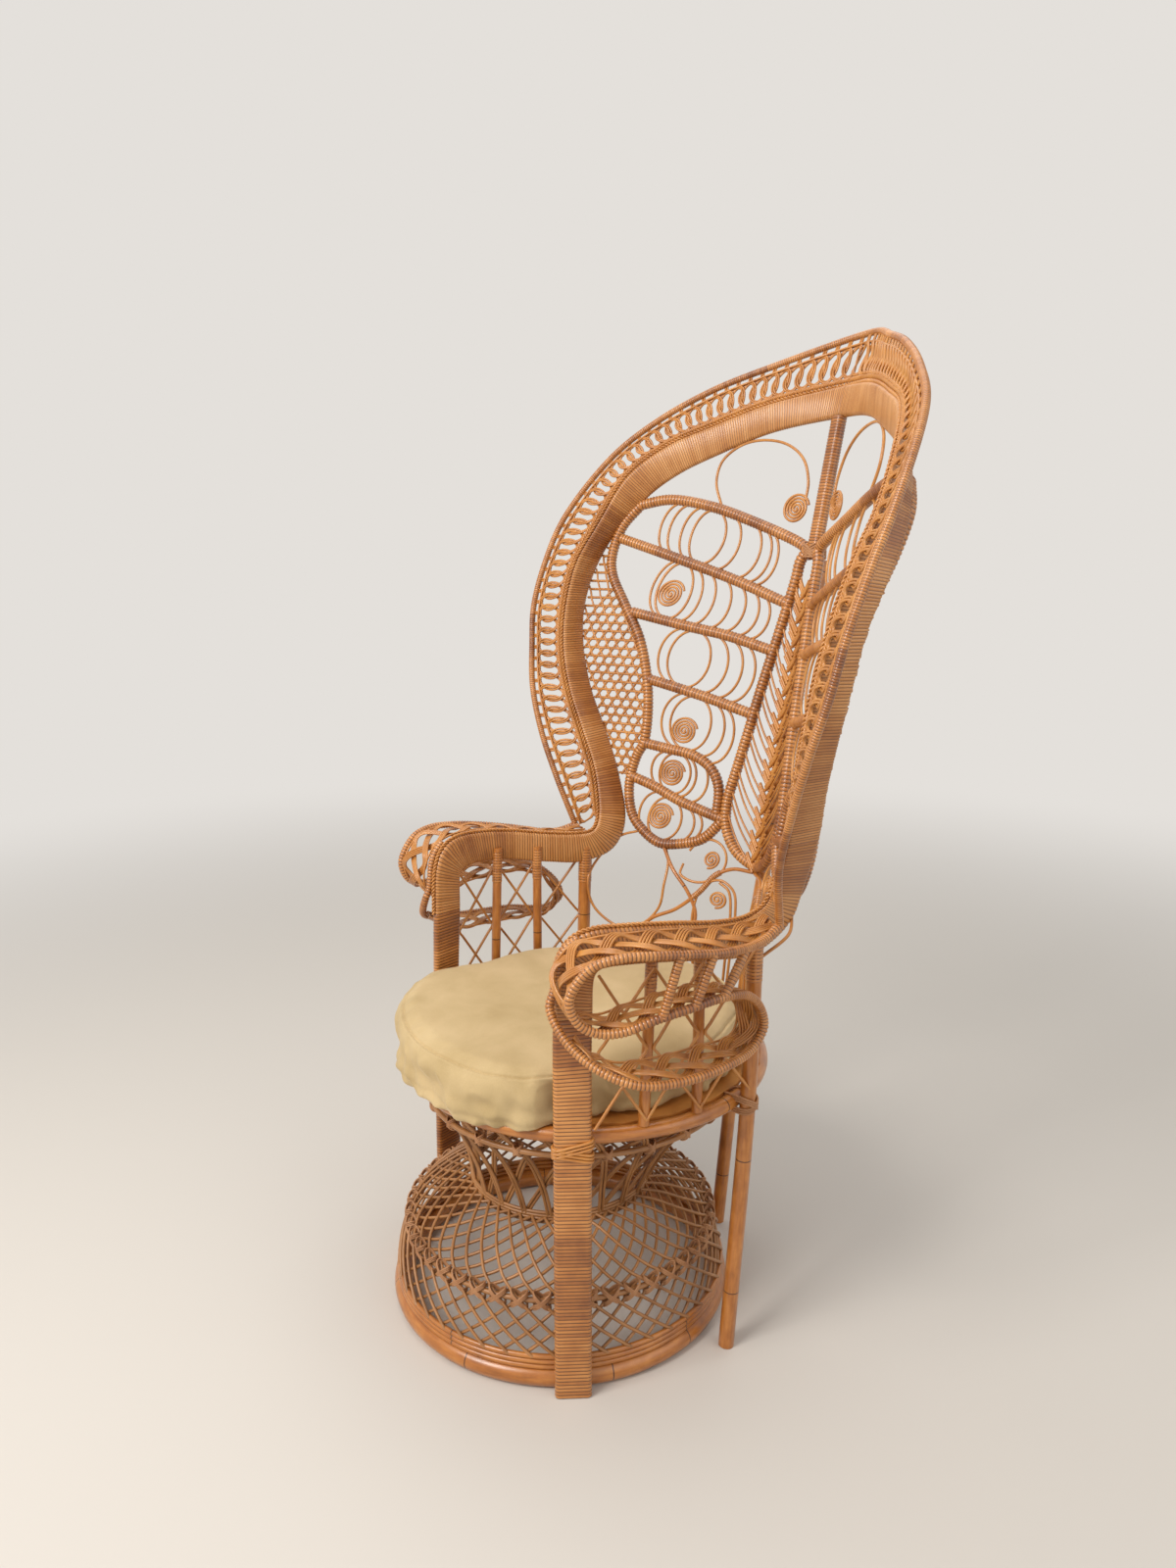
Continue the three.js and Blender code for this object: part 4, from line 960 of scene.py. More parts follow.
@dataclass
class Base:
    """The hourglass base of crossing canes, from the floor to the seat ring."""

    shop: Workshop
    canes: int = 46
    cane: float = 2.5 * MM
    layer_share: float = 0.95
    beside_share: float = 2.15
    skirt_turns: tuple = (21.0, 21.0)
    dome_turns: tuple = (46.0, 27.0)
    cone_turns: tuple = (34.0, 26.0)
    hoop_count: int = 3
    hoop_sides: int = 8
    end_tuck: float = 4 * MM
    ring_inset: float = 1.3 * MM
    waist_hoops: int = 4
    waist_cane: float = 2.6 * MM
    waist_pitch: float = 5.2 * MM
    waist_reach: float = 3.2 * MM
    collar_core: float = 4 * MM
    collar_star: float = 12.5 * MM
    cone_star: float = 7 * MM
    star_slant: float = 0.85
    star_depth: float = 8.5 * MM
    star_loops: int = 3
    lashing: float = 1.3 * MM
    lashing_share: float = 2.2
    cone_hoop_share: float = 2 / 3
    cone_hoop_reach: float = 3 * MM
    cone_hoop_drop: float = 2 * MM
    skirt_share: tuple = (0.33, 0.47)
    dome_shares: Sequence = ((0.14, 0.28), (0.42, 0.6), (0.75, 0.88))
    cone_shares: Sequence = ((0.16, 0.27), (0.48, 0.6), (0.82, 0.83))
    hoops_top: float = field(init=False)

    def __post_init__(self) -> None:
        """Works out where the hoops on the bottom ring end."""
        self.hoops_top = 2 * flat_of(S.base_ring_pole) + self.hoop_count * 2 * S.hoop_pole

    def crossing(
        self, profile: Line, turns: tuple, end_y: float = 0.0, start: float = 0.0, group: int = 1
    ) -> list:
        """Canes that cross each other on a turned surface.

        Args:
            profile: Radius in x and height in z, from the bottom up.
            turns: How many degrees the inner and the outer canes run round from bottom to top.
            end_y: The middle of the surface at the top.
            start: The share of its turn by which a cane starts before its place.
            group: How many canes run side by side.

        Returns:
            The middle lines.
        """
        v = np.linspace(0, 1, 24)
        shape = profile.at(v)
        lines = []
        for way, turn in zip((1, -1), turns):
            radius = shape[:, 0] - way * self.cane * self.layer_share
            for i in range(self.canes):
                place, beside = i // group * group, i % group - (group - 1) / 2
                angle = 2 * math.pi * place / self.canes + way * math.radians(turn) * (v - start)
                angle = angle + beside * self.beside_share * self.cane / radius
                x, y = radius * np.cos(angle), end_y * v + radius * np.sin(angle)
                lines.append(np.column_stack([x, y, shape[:, 2]]))
        return lines

    def skirt_profile(self) -> Line:
        """Radius and height of the skirt, from the hoops to the braid."""
        low, high = S.base_radius + S.hoop_pole, S.braid_radius
        rise = S.braid_height - self.hoops_top
        inward, upward = self.skirt_share
        return Line([
            (low, 0, self.hoops_top - self.end_tuck),
            (low + (high - low) * inward, 0, self.hoops_top + upward * rise),
            (high, 0, S.braid_height),
        ])

    def dome_profile(self) -> Line:
        """Radius and height of the dome, from the braid to the waist."""
        out, up = S.waist_radius - S.braid_radius, S.waist_height - S.braid_height
        inner = [(S.braid_radius + a * out, 0, S.braid_height + b * up) for a, b in self.dome_shares]
        return Line([(S.braid_radius, 0, S.braid_height), *inner, (S.waist_radius, 0, S.waist_height)])

    def cone_profile(self) -> Line:
        """Radius and height of the cone, from the waist to the seat ring."""
        low, high = S.waist_radius, S.seat_radius - S.seat_ring_pole
        rise = S.seat_ring_height - S.waist_height
        inner = [(low + a * (high - low), 0, S.waist_height + b * rise) for a, b in self.cone_shares]
        return Line([(low, 0, S.waist_height), *inner, (high, 0, S.seat_ring_height - self.end_tuck)])

    def stars(self, radius: float, z: float, count: int, size: float, middle_y: float = 0.0) -> bpy.types.Mesh:
        """Makes star-shaped lashings round a level ring.

        Args:
            radius: The ring's radius.
            z: The ring's height.
            count: How many stars there are.
            size: Half of a star's width.
            middle_y: The ring's middle.

        Returns:
            The mesh.
        """
        lines = []
        for i in range(count):
            angle = 2 * math.pi * i / count
            out = np.array([math.cos(angle), math.sin(angle), 0.0])
            side = np.array([-math.sin(angle), math.cos(angle), 0.0])
            centre = out * radius + (0, middle_y, z)
            for slant in (-self.star_slant, self.star_slant):
                lines += binding(
                    centre, side * size, out * self.star_depth, UP, slant * size, self.star_loops,
                    self.lashing_share * self.lashing,
                )
        return self.shop.cane(lines, self.lashing, "lashing", LOOP_STEP, SLIM_SIDES, True)

    def hoop(self, middle_y: float, radius: float, z: float, cane: float) -> bpy.types.Mesh:
        """Makes one level hoop of the base's own cane."""
        return self.shop.cane([circle(middle_y, radius, z)], cane, "base", BASE_STEP, self.hoop_sides, True)

    def net(self, name: str, lines: Sequence[np.ndarray], node: str) -> None:
        """Makes one piece of crossing canes."""
        self.shop.finish(name, [self.shop.cane(lines, self.cane, "base", BASE_STEP)], Slot.BASE, [node])

    def build(self) -> None:
        """Makes the rings, hoops and crossing canes."""
        self.build_foot()
        self.net("skirt_canes", self.crossing(self.skirt_profile(), self.skirt_turns, start=1.0), "skirt_lattice")
        core = self.hoop(0, S.braid_radius, S.braid_height, self.collar_core)
        lashed = self.stars(S.braid_radius, S.braid_height, self.canes, self.collar_star)
        self.shop.finish("braided_collar", [core, lashed], Slot.BASE, ["braid_ring"])
        self.net("dome_canes", self.crossing(self.dome_profile(), self.dome_turns), "dome_lattice")
        self.build_waist()
        profile = self.cone_profile()
        self.net("cone_canes", self.crossing(profile, self.cone_turns, S.seat_offset, group=2), "cone_lattice")
        self.build_cone_hoop(profile)
        seat = circle(S.seat_offset, S.seat_radius, S.seat_ring_height)
        made = self.shop.cane([seat], S.seat_ring_pole, "pole", POLE_STEP, POLE_SIDES, True)
        self.shop.finish("seat_ring_pole", [made], Slot.POLE, ["seat_ring"])

    def build_foot(self) -> None:
        """Makes the ring on the floor and the hoops piled on it."""
        height = flat_of(S.base_ring_pole)
        # The round pole lies a little further in than the solid, whose section has flats
        ring = circle(0, S.base_radius - self.ring_inset, height)
        pole = self.shop.cane([ring], S.base_ring_pole, "pole", POLE_STEP, POLE_SIDES, True)
        self.shop.finish("bottom_ring", [set_on_floor(pole)], Slot.BASE, ["base_ring"])
        out, low = S.base_radius + S.hoop_pole, 2 * height + S.hoop_pole
        hoops = [circle(0, out, low + i * 2 * S.hoop_pole) for i in range(self.hoop_count)]
        piled = self.shop.cane(hoops, S.hoop_pole, "pole", POLE_STEP, self.hoop_sides, True)
        self.shop.finish("piled_hoops", [piled], Slot.BASE, ["base_hoops"])

    def build_waist(self) -> None:
        """Makes the hoops that bind the waist."""
        waist = [
            circle(
                0, S.waist_radius + self.waist_reach,
                S.waist_height + (i - (self.waist_hoops - 1) / 2) * self.waist_pitch,
            )
            for i in range(self.waist_hoops)
        ]
        made = self.shop.cane(waist, self.waist_cane, "base", BASE_STEP, closed=True)
        self.shop.finish("waist_hoops", [made], Slot.BASE, ["waist_ring"])

    def build_cone_hoop(self, profile: Line) -> None:
        """Makes the hoop round the cone and the lashings that hold it."""
        radius, _, height = profile.at(self.cone_hoop_share)[0]
        middle = S.seat_offset * self.cone_hoop_share
        out, high = radius + S.cone_hoop_pole + self.cone_hoop_reach, height - self.cone_hoop_drop
        made = self.hoop(middle, out, high, S.cone_hoop_pole)
        tied = self.stars(out - self.cone_hoop_reach, high, self.canes // 2, self.cone_star, middle)
        self.shop.finish("cone_hoop_cane", [made, tied], Slot.BASE, ["cone_hoop"])


@dataclass
class Bands:
    """The flat wrapped band: up the front leg, along the arm and round the back."""

    shop: Workshop
    rings_per_turn: int = 4
    leg_pitch: float = 5.4 * MM
    arm_pitch: float = 4.8 * MM
    back_pitch: float = 4.4 * MM
    bulge: float = 0.8 * MM
    corner_share: float = 0.42
    samples: int = 900
    rope_cane: float = 1.7 * MM
    rope_pitch: float = 13 * MM
    tie_cane: float = 2.1 * MM
    tie_loops: int = 3
    tie_spacing: float = 5 * MM
    tie_drop: float = 12 * MM
    tie_slants: Sequence = ((7 * MM, 4 * MM), (-5 * MM, -5 * MM))

    def mesh(
        self, first: Line, second: Line, start: float, end: float, thickness: float, pitch: float, finish: str
    ) -> bpy.types.Mesh:
        """Makes a length of wrapped band between two edge lines.

        Args:
            first: The band's first edge.
            second: The band's second edge.
            start: Where it starts, as a share of the lines.
            end: Where it ends.
            thickness: The band's thickness.
            pitch: How far apart the turns of the wrap lie.
            finish: The name of its material.

        Returns:
            The closed mesh, in the row frame.
        """
        fine = np.linspace(start, end, self.samples)
        run = lengths((first.at(fine) + second.at(fine)) / 2)
        count = max(round(run[-1] / pitch), 1) * self.rings_per_turn
        along = np.linspace(0, run[-1], count + 1)
        t = np.interp(along, run, fine)
        a, b = first.at(t), second.at(t)
        middle = (a + b) / 2
        ahead = unit(np.gradient(middle, axis=0))
        across = unit(b - a)
        through = unit(np.cross(ahead, across))
        half = np.linalg.norm(b - a, axis=1) / 2
        turns = np.arange(count + 1) / self.rings_per_turn
        ridge = np.abs(np.sin(math.pi * turns))
        corner = thickness * self.corner_share
        reach = corner - self.bulge * (1 - ridge)
        rows, rounds = [], []
        for quarter, (sign_u, sign_v) in enumerate(((1, 1), (-1, 1), (-1, -1), (1, -1))):
            for step in range(3):
                angle = math.pi / 2 * (quarter + step / 2)
                u = sign_u * (half - corner) + reach * math.cos(angle)
                v = sign_v * (thickness / 2 - corner) + reach * math.sin(angle)
                rows.append(middle + across * u[:, None] + through * v[:, None])
                rounds.append(np.column_stack([u / corner / 3, v / corner / 3, np.zeros_like(u)]))
        sides = len(rows)
        points = np.stack(rows, axis=1).reshape(-1, 3) + (0, ORIGIN_Y, 0)
        around = np.stack(rounds, axis=1).reshape(-1, 3)
        faces = [
            (i * sides + k, i * sides + (k + 1) % sides, (i + 1) * sides + (k + 1) % sides, (i + 1) * sides + k)
            for i in range(count) for k in range(sides)
        ]
        faces += [tuple(range(sides))[::-1], tuple(count * sides + k for k in range(sides))]
        mesh = bpy.data.meshes.new("band")
        mesh.from_pydata(points.tolist(), [], faces)
        # The ridge also masks the painted groove shade in the material
        for name, value in {"along": along, "turn": turns, "ridge": ridge}.items():
            data = np.repeat(value, sides).astype(np.float32)
            mesh.attributes.new(name, "FLOAT", "POINT").data.foreach_set("value", data)
        mesh.attributes.new("round", "FLOAT_VECTOR", "POINT").data.foreach_set(
            "vector", around.astype(np.float32).ravel()
        )
        turned = bmesh.new()
        turned.from_mesh(mesh)
        bmesh.ops.recalc_face_normals(turned, faces=turned.faces)
        turned.to_mesh(mesh)
        turned.free()
        mesh.shade_smooth()
        mesh.materials.append(self.shop.materials[finish])
        return mesh

    def edge_rope(self, edge: Line, other: Line, start: float, end: float) -> bpy.types.Mesh:
        """Makes the thin two-strand rope that lies along the band's front edge."""
        fine = np.linspace(start, end, self.samples)
        points, across = edge.at(fine), unit(edge.at(fine) - other.at(fine))
        run = lengths(points)
        ahead = unit(np.gradient(points, axis=0))
        through = unit(np.cross(ahead, across))
        swing, offset = self.rope_cane * 1.05, self.rope_cane * 1.2
        lines = []
        for phase in (0, math.pi):
            wave = 2 * math.pi * run / self.rope_pitch + phase
            beside = across * (offset + swing * np.cos(wave))[:, None]
            lines.append(points + beside + through * (swing * np.sin(wave))[:, None])
        return self.shop.cane(lines, self.rope_cane, "weave", 2.4 * MM, SLIM_SIDES)

    def leg_binding(self, side: Side) -> bpy.types.Mesh:
        """Makes the slanted turns that bind the leg to the seat ring."""
        foot, head = mirrored(leg_points(), side)
        rise = unit(head - foot)
        wide = LEG_SLANT * (side.value, 1, 1)
        through = unit(np.cross(rise, wide))
        centre = head - rise * self.tie_drop
        deep = through * (S.band_thickness / 2 + 1.4 * MM)
        lines = []
        for slant, shift in self.tie_slants:
            lines += binding(
                centre + rise * shift, wide * 1.05, deep, rise, slant, self.tie_loops, self.tie_spacing, 0.45
            )
        return self.shop.cane(lines, self.tie_cane, "weave", FINE_STEP, closed=True)

    def build(self) -> None:
        """Makes the three lengths of band on each side, with their edge ropes and leg bindings."""
        for side in Side:
            first, second = Line(mirrored(FRONT_EDGE, side)), Line(mirrored(REAR_EDGE, side))
            pieces = {
                "front_leg": (0.0, LEG_TOP, self.leg_pitch, "wrap"),
                "arm_band": (LEG_TOP, ARM_END, self.arm_pitch, "band"),
                "back_band": (ARM_END, BAND_END, self.back_pitch, "band"),
            }
            for name, (start, end, pitch, finish) in pieces.items():
                band = set_on_floor(self.mesh(first, second, start, end, S.band_thickness, pitch, finish))
                trim = self.edge_rope(first, second, start, end) if start else self.leg_binding(side)
                self.shop.finish(f"{name}_wrap_{side.word}", [band, trim], Slot.WRAP, [f"{name}_{side.word}"])


@dataclass
class Rim:
    """The fan's outer pole and the open strip of loops between it and the band."""

    shop: Workshop
    wrap_share: float = 0.97
    wrap_pitch: float = 3.6 * MM
    wrap_bulge: float = 0.8 * MM
    apex_inset: tuple = (0, 2.2 * MM, 0.9 * MM)
    band_gap: float = 4 * MM
    loop_pitch: float = 21 * MM
    loop_half_width: float = 16 * MM
    loop_sizes: tuple = (1.0, 0.75)
    loop_lift: float = 2.4 * MM
    cane: float = 1.9 * MM
    outer_line: float = 0.14
    inner_line: float = 0.86
    edge_apart: float = 1.6 * MM
    tie_apart: float = 1.8 * MM
    tie_lift: float = 1.5 * MM
    braid_line: float = 0.93
    braid_swing: float = 0.045

    def places(self, strip: Strip) -> np.ndarray:
        """Where the loops' middles lie along the strip."""
        count = int(strip.length / self.loop_pitch)
        return (np.arange(count) + 0.5) * strip.length / count

    def loops(self, strip: Strip) -> list:
        """Ovals of two canes that pass through their neighbours."""
        lines = []
        phi = np.linspace(0, 2 * math.pi, 27)[:-1]
        middle, reach = (self.outer_line + self.inner_line) / 2, (self.inner_line - self.outer_line) / 2
        lift = self.loop_lift * np.sin(2 * phi + 0.6)
        for at in self.places(strip):
            for size in self.loop_sizes:
                run = at + self.loop_half_width * size * np.sin(phi)
                v = middle + reach * (0.66 + 0.34 * size) * np.cos(phi)
                lines.append(strip.at(np.clip(run, 0, strip.length), v, lift))
        return lines

    def ties(self, strip: Strip) -> list:
        """Short pairs of cane from the rim pole to the loops."""
        v = np.linspace(-0.06, self.outer_line + 0.06, 6)
        return [
            strip.at(np.clip(np.full(6, at + off), 0, strip.length), v, self.tie_lift)
            for at in self.places(strip) for off in (-self.tie_apart, self.tie_apart)
        ]

    def edges(self, strip: Strip) -> list:
        """The canes that run along both sides of the loops, and a braid beside the band."""
        run = np.arange(0, strip.length, FINE_STEP)
        lines = [strip.lane(FINE_STEP, self.outer_line, off) for off in (-self.edge_apart, self.edge_apart)]
        wave = 2 * math.pi * run / (2 * self.loop_pitch / 3)
        for phase in (0, 2 * math.pi / 3, 4 * math.pi / 3):
            v = self.braid_line + self.braid_swing * np.sin(wave + phase)
            lines.append(strip.at(run, v, self.loop_lift * np.cos(wave + phase)))
        return lines

    def build(self) -> None:
        """Makes the rim pole and its strip on each side."""
        rim = across_middle(on_back(RIM_POLE_SHARES))
        # The round pole's top lies a little further in than the solid's, whose section has flats
        rim[-2] -= self.apex_inset
        band = across_middle(np.vstack([on_arm(ARM_FRONT_SHARES[-1:]), on_back(BACK_FRONT_SHARES)]))
        end = (len(rim) - 2) / (len(rim) - 1)
        for side in Side:
            outer, inner = Line(mirrored(rim, side)), Line(mirrored(band, side))
            pole = self.shop.wrapped(
                [outer.dense(0, end)], S.rim_pole * self.wrap_share, self.wrap_pitch, self.wrap_bulge
            )
            self.shop.finish(f"rim_pole_wrap_{side.word}", [pole], Slot.WRAP, [f"rim_pole_{side.word}"])
            strip = Strip(outer, inner, S.rim_pole, self.band_gap, end)
            loops = self.shop.cane(self.loops(strip), self.cane, "weave", 3.6 * MM, SLIM_SIDES, True)
            lines = self.ties(strip) + self.edges(strip)
            rest = self.shop.cane(lines, self.cane, "weave", LOOP_STEP, SLIM_SIDES)
            self.shop.finish(f"rim_loops_{side.word}", [loops, rest], Slot.WEAVE, [f"rim_weave_{side.word}"])


@dataclass
class Arms:
    """The rolled arms: outer pole, woven strip, posts, crossing canes and struts."""

    shop: Workshop
    pole_extra: float = 0.4 * MM
    pole_pitch: float = 5.2 * MM
    pole_bulge: float = 1.4 * MM
    run_up_places: tuple = (2.5, 3.1, 3.7, 4.4)
    plait_pitch: float = 150 * MM
    plait_lift: float = 4.2 * MM
    plait_step: float = 4 * MM
    strand: float = 1.8 * MM
    strand_share: float = 2.05
    strands_per_plait: int = 4
    border_lines: tuple = (0.04, 0.97)
    strut_top_shares: Sequence = (0.145, 0.105, 0.065)
    strut_foot_shares: Sequence = (0.486, 0.53, 0.57)
    strut_pitch: float = 4.6 * MM
    post_pitch: float = 4.8 * MM
    leg_top_wrap: float = 1.2 * MM
    lashing: float = 1.7 * MM
    lashing_slant: float = 9 * MM
    lashing_spacing: float = 3.4 * MM
    lashing_reach: float = 2 * MM
    cross_cane: float = 2.3 * MM
    cross_reach: float = 8 * MM

    def plait(self, strip: Strip) -> list:
        """Three flat bundles of cane, plaited along the strip."""
        run = np.arange(0, strip.length, self.plait_step)
        width = np.maximum(strip.width(run), 1 * MM)
        bundle_width = self.strands_per_plait * self.strand_share * self.strand
        swing = np.maximum(width - bundle_width, 4 * MM) / 2
        lines = []
        for bundle in range(3):
            wave = 2 * math.pi * run / self.plait_pitch + 2 * math.pi * bundle / 3
            slope = swing * np.cos(wave) * 2 * math.pi / self.plait_pitch
            bend = 1 / np.sqrt(1 + slope**2)
            lift = self.plait_lift * np.sin(2 * wave)
            for k in range(self.strands_per_plait):
                off = (k - (self.strands_per_plait - 1) / 2) * self.strand_share * self.strand
                across = width / 2 + swing * np.sin(wave) + off * bend
                shift = np.clip(run - off * slope * bend, 0, strip.length)
                lines.append(strip.at(shift, across / width, lift))
        return lines

    def build(self) -> None:
        """Makes both arms."""
        for side in Side:
            self.build_roll(side)
            self.build_wall(side)

    def build_roll(self, side: Side) -> None:
        """Makes the outer pole, the plaited strip and the struts of one arm."""
        word = side.word
        points = mirrored(beside_arm(ARM_POLE_SHARES, S.arm_pole_half_span), side)
        line = Line(points)
        run_up = Line(np.vstack([points, self.up_the_leg(side)]))
        pole = self.shop.wrapped([run_up.dense()], S.rim_pole + self.pole_extra, self.pole_pitch, self.pole_bulge)
        self.shop.finish(f"arm_pole_wrap_{word}", [pole], Slot.WRAP, [f"arm_pole_{word}"])
        outer = Line(points[:len(ARM_STRIP_SHARES)])
        inner = Line(mirrored(on_arm(ARM_STRIP_SHARES), side))
        strip = Strip(outer, inner, S.rim_pole, 1 * MM)
        borders = [strip.lane(self.plait_step, v) for v in self.border_lines]
        parts = [
            self.shop.cane(lines, self.strand, "weave", ARC_STEP, SLIM_SIDES) for lines in (self.plait(strip), borders)
        ]
        self.shop.finish(f"arm_plait_{word}", parts, Slot.WEAVE, [f"arm_weave_{word}"])
        for i, (top, foot) in enumerate(zip(self.strut_top_shares, self.strut_foot_shares), start=1):
            ends = np.vstack([line.at(top), line.at(foot)])
            strut = self.shop.wrapped([ends], S.strut_pole, self.strut_pitch)
            self.shop.finish(f"arm_strut_wrap_{i}_{word}", [strut], Slot.WRAP, [f"arm_strut_{i}_{word}"])

    def up_the_leg(self, side: Side) -> np.ndarray:
        """Places along the leg's outer front edge, where the pole runs on up to the arm."""
        front, rear = (Line(mirrored(edge, side)) for edge in (FRONT_EDGE, REAR_EDGE))
        shares = np.array(self.run_up_places) / EDGE_SPANS
        ahead = unit(front.at(shares + 1e-3) - front.at(shares - 1e-3))
        across = unit(rear.at(shares) - front.at(shares))
        out = unit(np.cross(ahead, across)) * -side.value
        return front.at(shares) + out * (S.band_thickness / 2 + S.rim_pole * 0.8) - across * 1 * MM

    def posts(self, side: Side) -> list:
        """The lines of the rear leg and of the two arm posts."""
        rear = [
            (S.rear_foot_x, S.rear_foot_y, 0),
            polar(S.seat_offset, S.rear_pole_reach, REAR_LEG_ANGLE, S.seat_ring_height),
            tuple(on_arm([REAR_LEG_TOP_SHARE])[0]),
        ]
        lines = [Line(mirrored(rear, side))]
        for angle, top in zip(POST_FEET_ANGLES, POST_TOP_SHARES):
            foot = polar(S.seat_offset, S.seat_radius, angle, S.seat_height)
            lines.append(Line(mirrored([foot, tuple(on_arm([top])[0])], side)))
        return lines

    def build_wall(self, side: Side) -> None:
        """Makes the rear leg, the posts and the crossing canes of one arm."""
        word = side.word
        rear, front_post, rear_post = self.posts(side)
        leg = set_on_floor(self.shop.cane([rear.dense()], S.rear_pole, "pole", POLE_STEP, POLE_SIDES))
        top = self.shop.wrapped([rear.dense(0.86, 0.99)], S.rear_pole + self.leg_top_wrap, 5 * MM)
        parts = [leg, top, self.ring_lashing(rear.points[1])]
        self.shop.finish(f"rear_leg_pole_{word}", parts, Slot.POLE, [f"rear_leg_{word}"])
        for row, line in (("front", front_post), ("rear", rear_post)):
            bare = self.shop.cane([line.dense()], S.post_pole - 1 * MM, "pole", POLE_STEP, 12)
            wrap = self.shop.wrapped([line.dense(0.76, 0.98)], S.post_pole, self.post_pitch)
            self.shop.finish(f"arm_post_{row}_pole_{word}", [bare, wrap], Slot.WRAP, [f"arm_post_{row}_{word}"])
        stations = [self.leg_inside(side), front_post, rear_post, rear]
        lines = []
        for before, after in zip(stations[:-1], stations[1:]):
            low, high = self.bay(before), self.bay(after)
            lines += [self.zigzag(low, high, side), self.zigzag(high, low, side)]
        canes = self.shop.cane(lines, self.cross_cane, "weave")
        self.shop.finish(f"arm_cross_canes_{word}", [canes], Slot.WEAVE, [f"arm_lattice_{word}"])

    def ring_lashing(self, at_ring: np.ndarray) -> bpy.types.Mesh:
        """Makes the crossed lashing that ties the rear leg to the seat ring."""
        inward = unit(np.array([0.0, S.seat_offset, at_ring[2]]) - at_ring)
        wide = np.cross(UP, inward) * (S.rear_pole + self.lashing_reach)
        deep = inward * (S.rear_pole + S.seat_ring_pole + self.lashing_reach)
        loops = []
        for slant in (-self.lashing_slant, self.lashing_slant):
            loops += binding(
                at_ring + inward * S.seat_ring_pole, wide, deep, UP, slant, 3, self.lashing_spacing, 0.7
            )
        return self.shop.cane(loops, self.lashing, "lashing", FINE_STEP, closed=True)

    def leg_inside(self, side: Side) -> Line:
        """A line up the rear edge of the front leg, from the seat to below the arm."""
        edge = Line(mirrored(REAR_EDGE, side))
        return Line(edge.at(np.linspace(1.1 / EDGE_SPANS, 3.2 / EDGE_SPANS, 4)))

    def bay(self, line: Line) -> list:
        """Where canes touch a post: at the seat, half way up, and below the arm band."""
        points = line.dense()
        low, high = S.seat_height + 6 * MM, S.arm_height - S.band_width - 6 * MM
        return [points[np.argmin(np.abs(points[:, 2] - z))] for z in (low, (low + high) / 2, high)]

    def zigzag(self, near: list, far: list, side: Side) -> np.ndarray:
        """A cane from one post's foot across to the middle of the next and back to the first one's head."""
        out = np.array([side.value * self.cross_reach, 0, 0])
        middle = far[1] + (near[1] - far[1]) * 0.06
        above, below = (middle + (near[k] - middle) * 0.1 for k in (2, 0))
        return Line([near[0] + out, below + out, middle + out, above + out, near[2] + out]).dense()


